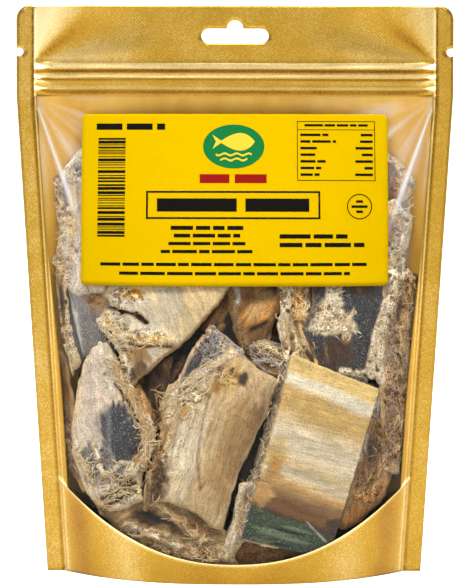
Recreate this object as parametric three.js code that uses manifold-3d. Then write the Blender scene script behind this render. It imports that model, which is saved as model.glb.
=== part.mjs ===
// A filled stand-up pouch of dried fish: a flat sealed header with a hang slot, tear notches and a
// press-to-close strip, a body swollen by the chunks inside it, a bottom gusset opened to stand on,
// and a paper label on the front.
// Millimetres, +Z up, the front towards -Y, the origin on the floor under the pouch's middle.
import * as THREE from "three";
import { mergeVertices } from "three/addons/utils/BufferGeometryUtils.js";
import Module from "manifold-3d";

// Driving dimensions of the pouch
const POUCH_WIDTH = 208; // across the flat header
const POUCH_HEIGHT = 270;
const BASE_WIDTH = 179; // between the bottom corners, drawn in by the swollen body
const BASE_DEPTH = 38; // from the middle plane to the bottom edge, on each face
const SIDE_SEAL = 7; // width of the flat heat seal down each side
const FILM = 0.25; // one laminate wall; two lie together in every seal
const CORNER_RADIUS = 6.5; // top corners

// Press-to-close strip, measured up from the floor
const STRIP_LOW = 227.5;
const STRIP_HIGH = 243;
const STRIP_RIDGES = 3;
const STRIP_RISE = 0.9; // how far a ridge stands out of each face

// Hang slot and tear notches
const SLOT_LENGTH = 32;
const SLOT_RADIUS = 3.5; // half the slot's height, and its round ends
const SLOT_Z = 255.7; // the slot's middle line
const HUMP_RADIUS = 3.9; // the half round above the middle of the slot
const NOTCH_Z = 248;
const NOTCH_DEPTH = 3.3;
const NOTCH_RADIUS = 1.9;

// How the body swells
const SECTION_POWER = 2.6; // flatness of the level sections; 2 would be a parabola
const RISE_POWER = 2.2; // how late the body narrows towards the strip
const BELLY = 0.12; // extra fullness at half height
const SWELL_POWER = 3; // flatness of the top of each chunk's swelling

// Where chunks press the film out: middle, half sizes, lean from upright in degrees, height
const FRONT_CHUNKS = [
  { x: 34, z: 60, halfWidth: 23, halfLength: 44, lean: 15, rise: 2.6 }, // cut block
  { x: -10, z: 68, halfWidth: 24, halfLength: 40, lean: 18, rise: 2.4 }, // loin
  { x: -57, z: 74, halfWidth: 18, halfLength: 40, lean: -5, rise: 2.2 }, // belly flap
  { x: -33, z: 122, halfWidth: 32, halfLength: 20, lean: 0, rise: 2.0 }, // pale slab
  { x: 52, z: 118, halfWidth: 23, halfLength: 24, lean: 8, rise: 1.8 }, // dark skin
  { x: -72, z: 152, halfWidth: 12, halfLength: 44, lean: 3, rise: 1.4 }, // left edge piece
  { x: 74, z: 130, halfWidth: 10, halfLength: 52, lean: -4, rise: 1.2 }, // right edge piece
];
const BACK_CHUNKS = [
  { x: -30, z: 62, halfWidth: 26, halfLength: 42, lean: -12, rise: 2.6 },
  { x: 28, z: 58, halfWidth: 24, halfLength: 36, lean: 20, rise: 2.3 },
  { x: -8, z: 128, halfWidth: 34, halfLength: 24, lean: 6, rise: 2.0 },
  { x: 60, z: 122, halfWidth: 18, halfLength: 34, lean: -8, rise: 1.6 },
  { x: -64, z: 132, halfWidth: 16, halfLength: 36, lean: 10, rise: 1.6 },
];

// Bottom gusset: flat on the floor in the middle, folded up between the faces towards each side
const GUSSET_RISE = 40; // height of the fold where it meets a side seal
const GUSSET_START = 38; // distance from the middle where the fold leaves the floor
const GUSSET_END = 78.5; // just inside the side seal
const SKIRT = 0.6; // sealed hem left standing between the fold and each face

// Paper label, as seen from the front
const LABEL_WIDTH = 145;
const LABEL_LOW = 137.5;
const LABEL_HIGH = 218.5;
const LABEL_RADIUS = 2.5;
const LABEL_PAPER = 0.3;
const LABEL_GAP = 0.3; // clearance between the paper and the film

// Fineness of the faceted surfaces
const BODY_ROWS = 30;
const ROWS_PER_RIDGE = 6;
const BODY_COLUMNS = 32;
const GUSSET_STATIONS = 12;
const GUSSET_STRIPS = 10;
const LABEL_COLUMNS = 24;
const LABEL_ROWS = 12;
const ARC_SEGMENTS = 8;
const TRIM = 2; // how far a raw solid runs past the outline that trims it
const TRIM_DEPTH = 120; // thickness of the trimming outlines, deeper than the pouch

const wasm = await Module();
wasm.setup();

function asSolid(geometry) {
  const bare = geometry.clone();
  bare.deleteAttribute("normal");
  bare.deleteAttribute("uv");
  const merged = mergeVertices(bare);
  return new wasm.Manifold(
    new wasm.Mesh({
      numProp: 3,
      vertProperties: new Float32Array(merged.getAttribute("position").array),
      triVerts: new Uint32Array(merged.index.array),
    }),
  );
}

function asGeometry(solid) {
  const mesh = solid.getMesh();
  const geometry = new THREE.BufferGeometry();
  geometry.setAttribute("position", new THREE.BufferAttribute(mesh.vertProperties, 3));
  geometry.setIndex(new THREE.BufferAttribute(mesh.triVerts, 1));
  geometry.computeVertexNormals();
  return geometry;
}

// A box of columns by layers by rows, each of whose corners is moved to where place() puts it.
function mouldedBox(columns, layers, rows, place) {
  const box = new THREE.BoxGeometry(columns, layers, rows, columns, layers, rows);
  const position = box.getAttribute("position");
  for (let i = 0; i < position.count; i++) {
    const column = Math.round(position.getX(i) + columns / 2);
    const layer = Math.round(position.getY(i) + layers / 2);
    const row = Math.round(position.getZ(i) + rows / 2);
    position.setXYZ(i, ...place(column, layer, row));
  }
  return asSolid(box);
}

// A plate with a shape's outline, drawn in X and Z, that runs through the pouch from front to back.
function trimmingPlate(shape) {
  const plate = new THREE.ExtrudeGeometry(shape, {
    depth: TRIM_DEPTH,
    bevelEnabled: false,
    curveSegments: ARC_SEGMENTS,
  });
  plate.translate(0, 0, -TRIM_DEPTH / 2);
  plate.rotateX(Math.PI / 2);
  return asSolid(plate);
}

// Half the pouch's width at a height: parallel from the strip up, drawn in below it.
function halfWidth(z) {
  const share = Math.min(z / STRIP_LOW, 1);
  return THREE.MathUtils.lerp(BASE_WIDTH, POUCH_WIDTH, share) / 2;
}

// Depth of the swollen body on its middle line, from the middle plane to one face.
function bodyDepth(z) {
  const share = THREE.MathUtils.clamp(z / STRIP_LOW, 0, 1);
  const fullness = 1 + BELLY * Math.sin(Math.PI * share);
  return BASE_DEPTH * (1 - share ** RISE_POWER) * fullness;
}

// Height of the chunks' swellings at a point of a face.
function chunkSwell(x, z, chunks) {
  let height = 0;
  for (const chunk of chunks) {
    const lean = THREE.MathUtils.degToRad(chunk.lean);
    const across = (x - chunk.x) * Math.cos(lean) - (z - chunk.z) * Math.sin(lean);
    const along = (x - chunk.x) * Math.sin(lean) + (z - chunk.z) * Math.cos(lean);
    const a = Math.abs(across / chunk.halfWidth) ** SWELL_POWER;
    const b = Math.abs(along / chunk.halfLength) ** SWELL_POWER;
    height += chunk.rise * Math.exp(-a - b);
  }
  return height;
}

// Height of the press-to-close strip's ridges, which are crushed flat where they meet the side seals.
function stripRise(side, z) {
  const share = (z - STRIP_LOW) / (STRIP_HIGH - STRIP_LOW);
  if (share <= 0 || share >= 1) return 0;
  const crushed = THREE.MathUtils.smoothstep(1 - side, 0, 0.04);
  return STRIP_RISE * crushed * Math.abs(Math.sin(Math.PI * STRIP_RIDGES * share));
}

// Distance from the middle plane to the outside of a face.
function faceDepth(x, z, chunks) {
  const side = Math.abs(x) / (halfWidth(z) - SIDE_SEAL);
  if (side >= 1) return FILM;
  const section = 1 - side ** SECTION_POWER;
  const body = (bodyDepth(z) + (z < STRIP_LOW ? chunkSwell(x, z, chunks) : 0)) * section;
  return FILM + body + stripRise(side, z);
}

// Heights of the rows of facets: even up the body, a few to each ridge, plain in the header.
function faceRows() {
  const rows = [];
  for (let i = 0; i < BODY_ROWS; i++) rows.push((STRIP_LOW * i) / BODY_ROWS);
  const stripRows = STRIP_RIDGES * ROWS_PER_RIDGE;
  for (let i = 0; i <= stripRows; i++) {
    rows.push(THREE.MathUtils.lerp(STRIP_LOW, STRIP_HIGH, i / stripRows));
  }
  rows.push(POUCH_HEIGHT + TRIM);
  return rows;
}

// The column's place across the pouch: seals at both ends, and columns that crowd towards them.
function columnX(column, z) {
  const outer = halfWidth(z) + TRIM;
  if (column === 0) return -outer;
  if (column === BODY_COLUMNS + 2) return outer;
  const share = (2 * (column - 1)) / BODY_COLUMNS - 1;
  return Math.sin((Math.PI / 2) * share) * (halfWidth(z) - SIDE_SEAL);
}

function swollenPouch() {
  const rows = faceRows();
  return mouldedBox(BODY_COLUMNS + 2, 1, rows.length - 1, (column, layer, row) => {
    const z = rows[row];
    const x = columnX(column, z);
    const isFront = layer === 0;
    const depth = faceDepth(x, z, isFront ? FRONT_CHUNKS : BACK_CHUNKS);
    return [x, isFront ? -depth : depth, z];
  });
}

// A tear notch bitten into one side of the outline: +1 going up the right side, -1 down the left.
function cutNotch(outline, side) {
  const edge = side * (POUCH_WIDTH / 2);
  const centre = edge - side * (NOTCH_DEPTH - NOTCH_RADIUS);
  outline.lineTo(edge, NOTCH_Z - side * NOTCH_RADIUS);
  outline.lineTo(centre, NOTCH_Z - side * NOTCH_RADIUS);
  outline.absarc(centre, NOTCH_Z, NOTCH_RADIUS, -side * (Math.PI / 2), side * (Math.PI / 2), true);
  outline.lineTo(edge, NOTCH_Z + side * NOTCH_RADIUS);
}

function hangSlot() {
  const end = SLOT_LENGTH / 2 - SLOT_RADIUS;
  const slot = new THREE.Path();
  slot.moveTo(-end, SLOT_Z - SLOT_RADIUS);
  slot.absarc(end, SLOT_Z, SLOT_RADIUS, -Math.PI / 2, Math.PI / 2, false);
  slot.absarc(0, SLOT_Z + SLOT_RADIUS, HUMP_RADIUS, 0, Math.PI, false);
  slot.absarc(-end, SLOT_Z, SLOT_RADIUS, Math.PI / 2, (3 * Math.PI) / 2, false);
  return slot;
}

// The pouch as seen from the front: drawn-in sides, round top corners, notches and the hang slot.
function pouchOutline() {
  const base = BASE_WIDTH / 2;
  const edge = POUCH_WIDTH / 2;
  const cornerX = edge - CORNER_RADIUS;
  const cornerZ = POUCH_HEIGHT - CORNER_RADIUS;
  const outline = new THREE.Shape();
  outline.moveTo(-base, -TRIM);
  outline.lineTo(base, -TRIM);
  outline.lineTo(base, 0);
  outline.lineTo(edge, STRIP_LOW);
  cutNotch(outline, 1);
  outline.absarc(cornerX, cornerZ, CORNER_RADIUS, 0, Math.PI / 2, false);
  outline.absarc(-cornerX, cornerZ, CORNER_RADIUS, Math.PI / 2, Math.PI, false);
  cutNotch(outline, -1);
  outline.lineTo(-edge, STRIP_LOW);
  outline.lineTo(-base, 0);
  outline.holes.push(hangSlot());
  return outline;
}

// The hollow under one end of the gusset: a tent between the hems that rises towards the side seal.
function gussetHollow(side) {
  return mouldedBox(GUSSET_STATIONS, GUSSET_STRIPS, 1, (station, strip, top) => {
    const share = (side > 0 ? station : GUSSET_STATIONS - station) / GUSSET_STATIONS;
    const x = side * THREE.MathUtils.lerp(GUSSET_START, GUSSET_END, share);
    const across = (2 * strip) / GUSSET_STRIPS - 1;
    const chunks = across < 0 ? FRONT_CHUNKS : BACK_CHUNKS;
    const y = across * (faceDepth(x, 0, chunks) - SKIRT);
    const fold = THREE.MathUtils.smoothstep(share, 0, 1) * (1 - Math.abs(across));
    return [x, y, top ? fold * GUSSET_RISE : -TRIM];
  });
}

function makePouch() {
  const outlined = swollenPouch().intersect(trimmingPlate(pouchOutline()));
  const pouch = outlined.subtract(gussetHollow(1)).subtract(gussetHollow(-1));
  const foil = new THREE.MeshStandardMaterial({ color: 0xc99b3c, roughness: 0.35, metalness: 0.9 });
  const mesh = new THREE.Mesh(asGeometry(pouch), foil);
  mesh.name = "pouch";
  return mesh;
}

function labelOutline() {
  const cornerX = LABEL_WIDTH / 2 - LABEL_RADIUS;
  const lowZ = LABEL_LOW + LABEL_RADIUS;
  const highZ = LABEL_HIGH - LABEL_RADIUS;
  const quarter = Math.PI / 2;
  const outline = new THREE.Shape();
  outline.absarc(cornerX, lowZ, LABEL_RADIUS, -quarter, 0, false);
  outline.absarc(cornerX, highZ, LABEL_RADIUS, 0, quarter, false);
  outline.absarc(-cornerX, highZ, LABEL_RADIUS, quarter, 2 * quarter, false);
  outline.absarc(-cornerX, lowZ, LABEL_RADIUS, 2 * quarter, 3 * quarter, false);
  return outline;
}

// The label follows the front film a hair's breadth outside it.
function makeLabel() {
  const paper = mouldedBox(LABEL_COLUMNS, 1, LABEL_ROWS, (column, layer, row) => {
    const x = (column / LABEL_COLUMNS - 0.5) * (LABEL_WIDTH + TRIM);
    const z = THREE.MathUtils.lerp(LABEL_LOW - TRIM, LABEL_HIGH + TRIM, row / LABEL_ROWS);
    const lift = layer === 0 ? LABEL_GAP + LABEL_PAPER : LABEL_GAP;
    return [x, -(faceDepth(x, z, FRONT_CHUNKS) + lift), z];
  });
  const print = new THREE.MeshStandardMaterial({ color: 0xfdd000, roughness: 0.55, metalness: 0 });
  const mesh = new THREE.Mesh(asGeometry(paper.intersect(trimmingPlate(labelOutline()))), print);
  mesh.name = "label";
  return mesh;
}

const packedFish = new THREE.Group();
packedFish.add(makePouch(), makeLabel());

export default packedFish;
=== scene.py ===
import math

import bpy
import numpy as np
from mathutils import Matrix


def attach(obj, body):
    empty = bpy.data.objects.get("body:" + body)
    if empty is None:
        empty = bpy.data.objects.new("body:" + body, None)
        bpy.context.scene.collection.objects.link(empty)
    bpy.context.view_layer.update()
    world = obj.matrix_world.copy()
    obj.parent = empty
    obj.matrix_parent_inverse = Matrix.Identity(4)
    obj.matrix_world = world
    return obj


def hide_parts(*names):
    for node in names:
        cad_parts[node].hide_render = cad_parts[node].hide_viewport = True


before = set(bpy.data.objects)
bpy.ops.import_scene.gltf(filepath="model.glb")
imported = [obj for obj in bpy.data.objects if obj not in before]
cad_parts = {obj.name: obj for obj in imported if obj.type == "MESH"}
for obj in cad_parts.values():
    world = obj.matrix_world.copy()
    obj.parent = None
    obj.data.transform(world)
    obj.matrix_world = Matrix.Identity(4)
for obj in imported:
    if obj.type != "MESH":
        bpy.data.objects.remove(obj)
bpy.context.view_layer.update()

import openvdb
from mathutils import Vector
from mathutils.geometry import delaunay_2d_cdt

MM = 0.001
SIDES = (-1, 1)  # left and right

# Pouch
POUCH_WIDTH = 208.0
POUCH_HEIGHT = 270.0
BASE_WIDTH = 179.0
BASE_DEPTH = 38.0  # from the middle plane to a face, at the floor
SIDE_SEAL = 8.0
SEAL_X = POUCH_WIDTH / 2 - SIDE_SEAL  # inner edge of a side seal, from the strip up
FILM = 0.25
WALL = 0.2  # thickness given to the foil sheets
CORNER_RADIUS = 6.5
SLOT_LENGTH = 32.0
SLOT_RADIUS = 3.5
SLOT_Z = 255.7
HUMP_RADIUS = 3.9
NOTCH_Z = 248.0
NOTCH_DEPTH = 3.3
NOTCH_RADIUS = 1.9
SECTION_POWER = 2.6
RISE_POWER = 2.2
BELLY = 0.12
SWELL_POWER = 3

# Press-to-close strip: three uneven ridges, as heights at shares of the way up. They waver, and the side
# seals pinch their ends into peaked folds.
STRIP_LOW = 227.5
STRIP_HIGH = 243.0
STRIP_RIDGES = 3
STRIP_PROFILE = [
    (0.0, 0.0), (0.04, 0.02), (0.17, 0.55), (0.26, 0.34), (0.46, 0.32), (0.52, 0.62), (0.63, 0.2),
    (0.68, 0.14), (0.80, 0.75), (1.0, 0.0),
]
STRIP_WAVER = 0.025
STRIP_FINE = 0.07
STRIP_EASE = 3.0
PINCH_REACH = 6.0
PINCH_START = 0.9
PINCH_DRIFT = 0.04
PINCH_RISE = 1.4

# Swellings where chunks press the film: x, z, half width, half length, lean in degrees, rise
FRONT_SWELLS = [
    (34, 60, 23, 44, 15, 2.6),
    (-10, 68, 24, 40, 18, 2.4),
    (-57, 74, 18, 40, -5, 2.2),
    (-33, 122, 32, 20, 0, 2.0),
    (52, 118, 23, 24, 8, 1.8),
    (-72, 152, 12, 44, 3, 1.4),
    (74, 130, 10, 52, -4, 1.2),
]
BACK_SWELLS = [
    (-30, 62, 26, 42, -12, 2.6),
    (28, 58, 24, 36, 20, 2.3),
    (-8, 128, 34, 24, 6, 2.0),
    (60, 122, 18, 34, -8, 1.6),
    (-64, 132, 16, 36, 10, 1.6),
]

# Folds of the film that fan out from the pinched ends of the strip: inward run, drop, height, half width
FILM_FOLDS = [
    (27, 74, 1.3, 1.5),
    (8, 60, 0.7, 1.2),
    (15, 40, -0.6, 1.8),
    (26, 40, 0.7, 1.6),
    (34, 28, 0.6, 1.8),
    (44, 20, 0.5, 1.8),
]
FOLD_START = 0.1  # shares of a fold's length over which it rises, ends and fades
FOLD_END = 1.15
FOLD_FADE = 0.6
FILM_SLACK = 0.35
BACK_SLACK = 0.5

# Cones of the header round each end of the strip: slope, first degree from upright, span in degrees
HEADER_CONES = [(0.045, 0, 52), (-0.03, 52, 30)]
CONE_REACH = 75.0
CONE_FADE = 40.0

# The bead inside each side seal and the groove beside it: height, millimetres inwards, half width
SEAL_BEADS = [(0.25, 0.7, 0.6), (-0.12, -0.4, 0.35)]

# Bottom gusset, and the curved seal that joins it to the front
GUSSET_RISE = 40.0
GUSSET_START = 38.0
GUSSET_FLOOR = 0.05
GUSSET_ROWS = 20
SEAL_CURVE_LOW = 9.3
SEAL_CURVE_RISE = 35.6
SEAL_CURVE_POWER = 2.2
CURVE_BEAD = 0.5
CURVE_BEAD_HALF = 0.9

# Label
LABEL_HALF = 72.5
LABEL_LOW = 137.5
LABEL_HIGH = 218.5
LABEL_RADIUS = 2.5
LABEL_LIFT = 0.55
LABEL_THICKNESS = 0.15
LABEL_STEP = 2.5
LABEL_EASE = 3.0  # how far round the label its smooth film reaches
INK_LIFT = 0.06

# Camera: fitted to the outline in a picture of 471 by 588 pixels
PICTURE_HEIGHT = 588
FOCAL_PIXELS = 2094.0
SENSOR = 36.0
CAMERA_DISTANCE = 1000.0
CAMERA_HEIGHT = 170.8
CAMERA_SIDE = 0.4
CAMERA_PITCH = 2.17
CAMERA_ROLL = -0.112

# Fineness of the sheets
WINDOW_COLUMNS = 154
COLUMN_CROWDING = 0.8  # how far the columns crowd towards the sides
MARGIN_COLUMNS = 8
SKIRT_ROWS = 26
WINDOW_ROWS = 190
STRIP_ROWS = 48
SEAL_COLUMNS = 5
HEADER_STEP = 2.0
FILL_BORDER = 0.9  # room between an outline and the points that fill it
SEAL_LINE = (-2.0, -1.3, -0.7, 0.0, 0.4, 0.8, 1.4)  # offsets of the header's points along a seal's edge
SEAL_LINE_STEP = 1.5
MARGIN_TOP = 1.7  # width of the gold beside the window, next to the strip
MARGIN_LOW = 5.4  # and at the curved seal
MARGIN_RISE = (0.2, 0.55)  # share of the way up where it starts to narrow, and over how much

LATTICE = 32  # cells of the noise before it repeats
TINY = 1e-9
FAR = 1e9


# Small helpers
def smoothstep(t):
    t = np.clip(t, 0.0, 1.0)
    return t * t * (3.0 - 2.0 * t)


def mix(low, high, share):
    return low + (high - low) * share


def hill(value, centre, width):
    """1 at the centre, falling off smoothly on both sides."""
    return np.exp(-(((value - centre) / width) ** 2))


def hills(value, rows):
    """Sum of hills, each given as height, centre and width."""
    return sum(height * hill(value, centre, width) for height, centre, width in rows)


def linear(colour):
    """Scene-linear values of a colour written as 0 to 255."""
    c = np.asarray(colour, float) / 255.0
    return np.where(c <= 0.04045, c / 12.92, ((c + 0.055) / 1.055) ** 2.4)


def noise(points, scale, seed):
    """Smooth noise from -1 to 1 whose features are about as large as scale."""
    table = np.random.default_rng(seed).uniform(-1, 1, (LATTICE,) * 3).astype(np.float32)
    place = points / np.asarray(scale, float)
    corner = np.floor(place)
    weight = place - corner
    weight = weight * weight * (3.0 - 2.0 * weight)
    low = corner.astype(np.int64) % LATTICE
    steps = [(low, 1.0 - weight), ((low + 1) % LATTICE, weight)]
    total = np.zeros(len(points))
    for ix, wx in steps:
        for iy, wy in steps:
            for iz, wz in steps:
                total += table[ix[:, 0], iy[:, 1], iz[:, 2]] * wx[:, 0] * wy[:, 1] * wz[:, 2]
    return total


def fractal(points, scale, seed, octaves=3):
    total = np.zeros(len(points))
    for octave in range(octaves):
        total += noise(points, np.asarray(scale, float) / 2**octave, seed + octave) * 0.5**octave
    return total


def ridges(points, scale, seed):
    """Noise with sharp crests, from -1 in the valleys to 1 on the crests."""
    return 1.0 - 2.0 * np.abs(noise(points, scale, seed)) ** 0.7


def over_plane(kind, x, z, scale, seed):
    """One of the kinds of noise above at places in the picture plane."""
    points = np.stack([np.ravel(x), np.zeros(np.size(x)), np.ravel(z)], axis=1)
    return kind(points, scale, seed).reshape(x.shape)


def leaning(x, z, at_x, at_z, lean):
    """Distances across and along a direction that leans from upright, from a given point."""
    turn = math.radians(lean)
    across = (x - at_x) * math.cos(turn) - (z - at_z) * math.sin(turn)
    along = (x - at_x) * math.sin(turn) + (z - at_z) * math.cos(turn)
    return across, along


def ellipse_share(x, z, at_x, at_z, half_w, half_l, lean):
    """1 at the middle of a leaning ellipse, 0 on its edge, negative outside."""
    across, along = leaning(x, z, at_x, at_z, lean)
    return 1.0 - np.hypot(across / half_w, along / half_l)


def path_distance(x, z, path):
    """Distance in the picture plane to a path."""
    nearest = np.full(x.shape, FAR)
    for (ax, az), (bx, bz) in zip(path, path[1:]):
        run_x, run_z = bx - ax, bz - az
        share = ((x - ax) * run_x + (z - az) * run_z) / max(run_x**2 + run_z**2, TINY)
        share = np.clip(share, 0.0, 1.0)
        nearest = np.minimum(nearest, np.hypot(x - ax - share * run_x, z - az - share * run_z))
    return nearest


def plane_distance(x, z, outline):
    """Signed distance to a closed outline in the picture plane, negative inside."""
    closed = outline + outline[:1]
    inside = np.zeros(x.shape, bool)
    for (ax, az), (bx, bz) in zip(closed, closed[1:]):
        rise = bz - az
        at = ax + (z - az) * (bx - ax) / (rise if abs(rise) > TINY else TINY)
        inside ^= ((az > z) != (bz > z)) & (x < at)
    nearest = path_distance(x, z, closed)
    return np.where(inside, -nearest, nearest)


# The pouch's form
def half_width(z):
    return np.interp(z, [0.0, STRIP_LOW], [BASE_WIDTH / 2, POUCH_WIDTH / 2])


def inner_half(z):
    return half_width(z) - SIDE_SEAL


def side_share(x, z):
    """0 in the middle of a face, 1 from the side seal on."""
    return np.clip(np.abs(x) / inner_half(z), 0.0, 1.0)


def from_seal(x, z):
    """Distance inwards from the nearer side seal, negative within it."""
    return inner_half(z) - np.abs(x)


def strip_share(z):
    """Share of the way up the press-to-close strip."""
    return (z - STRIP_LOW) / (STRIP_HIGH - STRIP_LOW)


def on_strip(z):
    return (strip_share(z) > 0) & (strip_share(z) < 1)


def body_depth(z):
    share = np.clip(z / STRIP_LOW, 0.0, 1.0)
    return BASE_DEPTH * (1 - share**RISE_POWER) * (1 + BELLY * np.sin(np.pi * share))


def swell(x, z, swells):
    height = np.zeros_like(x)
    for at_x, at_z, half_w, half_l, lean, rise in swells:
        across, along = leaning(x, z, at_x, at_z, lean)
        fall = np.abs(across / half_w) ** SWELL_POWER + np.abs(along / half_l) ** SWELL_POWER
        height += rise * np.exp(-fall)
    return np.where(z < STRIP_LOW, height, 0.0)


def face_depth(x, z, swells):
    """Distance of a face from the middle plane, without ridges and folds."""
    return FILM + (body_depth(z) + swell(x, z, swells)) * (1 - side_share(x, z) ** SECTION_POWER)


def strip_pinch(x, z):
    """How strongly the side seals pinch the strip, and the peaked folds that they make of its ridges."""
    inward = np.clip(from_seal(x, z), 0.0, None)
    pinch = hill(inward, 0.0, PINCH_REACH) * smoothstep(inward / PINCH_START)
    peak = 1 - 2 * np.abs((strip_share(z) * STRIP_RIDGES + PINCH_DRIFT * inward) % 1.0 - 0.5)
    return pinch * on_strip(z), peak


def strip_relief(x, z):
    """Ridges of the press-to-close strip, pinched into folds at both ends."""
    bent = strip_share(z) + STRIP_WAVER * over_plane(noise, x, z, (45, 1, 6), 3)
    fine = over_plane(noise, x, z, (70, 1, 0.9), 5) + 0.5 * over_plane(noise, x, z, (30, 1, 0.6), 6)
    height = np.interp(bent, *zip(*STRIP_PROFILE)) + STRIP_FINE * fine * on_strip(z)
    pinch, peak = strip_pinch(x, z)
    return mix(height * smoothstep(from_seal(x, z) / STRIP_EASE), PINCH_RISE * peak, pinch)


def fold_height(x, z, fold, side):
    """Height of one fold of the fan at a side, highest along its crest."""
    run, drop, rise, width = fold
    length = math.hypot(run, drop)
    to_x = -side * run / length
    to_z = -drop / length
    from_x = x - side * SEAL_X
    from_z = z - STRIP_LOW
    along = (from_x * to_x + from_z * to_z) / length
    spread = width * (0.5 + np.clip(along, 0.0, 1.0))
    fade = smoothstep(along / FOLD_START) * smoothstep((FOLD_END - along) / FOLD_FADE)
    return rise * fade * hill(from_x * to_z - from_z * to_x, 0.0, spread)


def film_relief(x, z):
    """Fan folds and faint slack of the clear film. Under the label it lies smooth."""
    height = sum(fold_height(x, z, fold, side) for side in SIDES for fold in FILM_FOLDS)
    slack = over_plane(fractal, x, z, (15, 1, 55), 11) * (1 - side_share(x, z) ** 4)
    height += FILM_SLACK * slack * smoothstep((STRIP_LOW - z) / 12)
    beyond_x = np.abs(x) - LABEL_HALF
    beyond_z = np.maximum(z - LABEL_HIGH, LABEL_LOW - z)
    return height * smoothstep(np.maximum(beyond_x, beyond_z) / LABEL_EASE)


def fan_place(inward, z):
    """Distance from an end of the strip, and degrees from upright round it, in the header."""
    up = np.maximum(z - STRIP_HIGH, 0.0)
    angle = np.degrees(np.arctan2(np.maximum(inward, 0.0), up + 1e-6))
    return np.hypot(inward, up), angle


def header_relief(x, z, towards):
    """Both layers of the header bend together in a cone beside each end of the strip."""
    height = np.zeros_like(x)
    for side in SIDES:
        inward = SEAL_X - side * x
        reach, angle = fan_place(inward, z)
        cone = np.zeros_like(x)
        for slope, start, span in HEADER_CONES:
            cone += slope * np.sin(np.pi * np.clip((angle - start) / span, 0, 1))
        height += np.where(inward > 0, reach * cone, 0.0) * smoothstep((CONE_REACH - reach) / CONE_FADE)
    return height * towards * smoothstep((z - STRIP_HIGH) / 2)


def curve_height(share):
    """Height of the curved gusset seal at shares of the half width."""
    return SEAL_CURVE_LOW + SEAL_CURVE_RISE * np.abs(share) ** SEAL_CURVE_POWER


def seal_curve(x, z):
    """Height of the curved gusset seal above or below each place of the front."""
    return curve_height(side_share(x, z))


def ridged_depth(x, z, swells, towards):
    """Depth of a face with the ridges, beads and cones that the front and the back share."""
    depth = face_depth(x, z, swells) + strip_relief(x, z)
    return depth + hills(from_seal(x, z), SEAL_BEADS) + header_relief(x, z, towards)


def front_depth(x, z):
    curve = seal_curve(x, z)
    bead = CURVE_BEAD * hill(z, curve, CURVE_BEAD_HALF) * (from_seal(x, z) > 0)
    folds = film_relief(x, z) * smoothstep((z - curve) / 8) * (z < STRIP_LOW)
    return ridged_depth(x, z, FRONT_SWELLS, 1.0) + bead + folds


def back_depth(x, z):
    creases = over_plane(ridges, x, z, (26, 1, 60), 21) * (1 - side_share(x, z) ** 3)
    slack = BACK_SLACK * creases * smoothstep((STRIP_LOW - z) / 30) * smoothstep(z / 25)
    return ridged_depth(x, z, BACK_SWELLS, -1.0) + slack


# Meshes
def make_object(name, points, faces, materials, face_materials=None):
    mesh = bpy.data.meshes.new(name)
    mesh.from_pydata((np.asarray(points) * MM).tolist(), [], [list(map(int, f)) for f in faces])
    mesh.polygons.foreach_set("use_smooth", [True] * len(mesh.polygons))
    for material in materials:
        mesh.materials.append(material)
    if face_materials is not None:
        mesh.polygons.foreach_set("material_index", np.asarray(face_materials, np.int32))
    mesh.update()
    piece = bpy.data.objects.new(name, mesh)
    bpy.context.scene.collection.objects.link(piece)
    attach(piece, "root")
    return piece


def store(piece, name, values):
    """Keeps a number or a vector for each point of a piece, for its material to read."""
    values = np.asarray(values, np.float32)
    kind, key = ("FLOAT", "value") if values.ndim == 1 else ("FLOAT_VECTOR", "vector")
    attribute = piece.data.attributes.new(name, kind, "POINT")
    attribute.data.foreach_set(key, values.ravel())


def grid_faces(rows, columns):
    index = np.arange(rows * columns).reshape(rows, columns)
    return np.stack([index[:-1, :-1], index[:-1, 1:], index[1:, 1:], index[1:, :-1]], -1).reshape(-1, 4)


def sheet(x, z, depth, towards):
    """Points and faces of a grid of x and z at a depth. towards is -1 on the front and 1 on the back."""
    points = np.stack([x.ravel(), towards * depth.ravel(), z.ravel()], axis=1)
    faces = grid_faces(*x.shape)
    return points, faces if towards < 0 else faces[:, ::-1]


def join(parts):
    """One list of points and one of faces from several."""
    faces = []
    start = 0
    for points, part_faces in parts:
        faces += [tuple(int(i) + start for i in face) for face in part_faces]
        start += len(points)
    return np.concatenate([points for points, _ in parts]), faces


def weld(parts):
    """Joins sheets, and merges the points that they share."""
    points, faces = join(parts)
    _, first, where = np.unique(np.round(points, 3), axis=0, return_index=True, return_inverse=True)
    where = where.ravel()
    return points[first], [tuple(where[i] for i in face) for face in faces]


def thicken(piece, thickness):
    """Gives a sheet its thickness, inwards from the modelled face."""
    solid = piece.modifiers.new("wall", "SOLIDIFY")
    solid.thickness = thickness * MM
    solid.offset = -1.0
    solid.use_even_offset = False


# Grids of the sheets
def skirt_steps():
    """Shares of the way up the skirt, closer together towards its curved seal."""
    return 1 - (1 - np.linspace(0.0, 1.0, SKIRT_ROWS + 1)) ** 2


def strip_heights():
    return np.linspace(STRIP_LOW, STRIP_HIGH, STRIP_ROWS + 1)


def seal_heights():
    """Heights of the rows along a side seal, past the skirt, the window and the strip."""
    seal_top = SEAL_CURVE_LOW + SEAL_CURVE_RISE
    window = np.linspace(seal_top, STRIP_LOW, WINDOW_ROWS + 1)
    return np.concatenate([seal_top * skirt_steps(), window[1:], strip_heights()[1:]])


def across_shares():
    angle = COLUMN_CROWDING * np.pi / 2
    return np.sin(np.linspace(-angle, angle, WINDOW_COLUMNS + 1)) / math.sin(angle)


def column_shares(margin):
    """Shares of the half width where the front's columns stand, with a margin of close ones at each seal."""
    edge = 1 - margin / SEAL_X
    outer = np.linspace(edge, 1.0, MARGIN_COLUMNS + 1)[1:]
    return np.concatenate([-outer[::-1], edge * across_shares(), outer])


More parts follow.
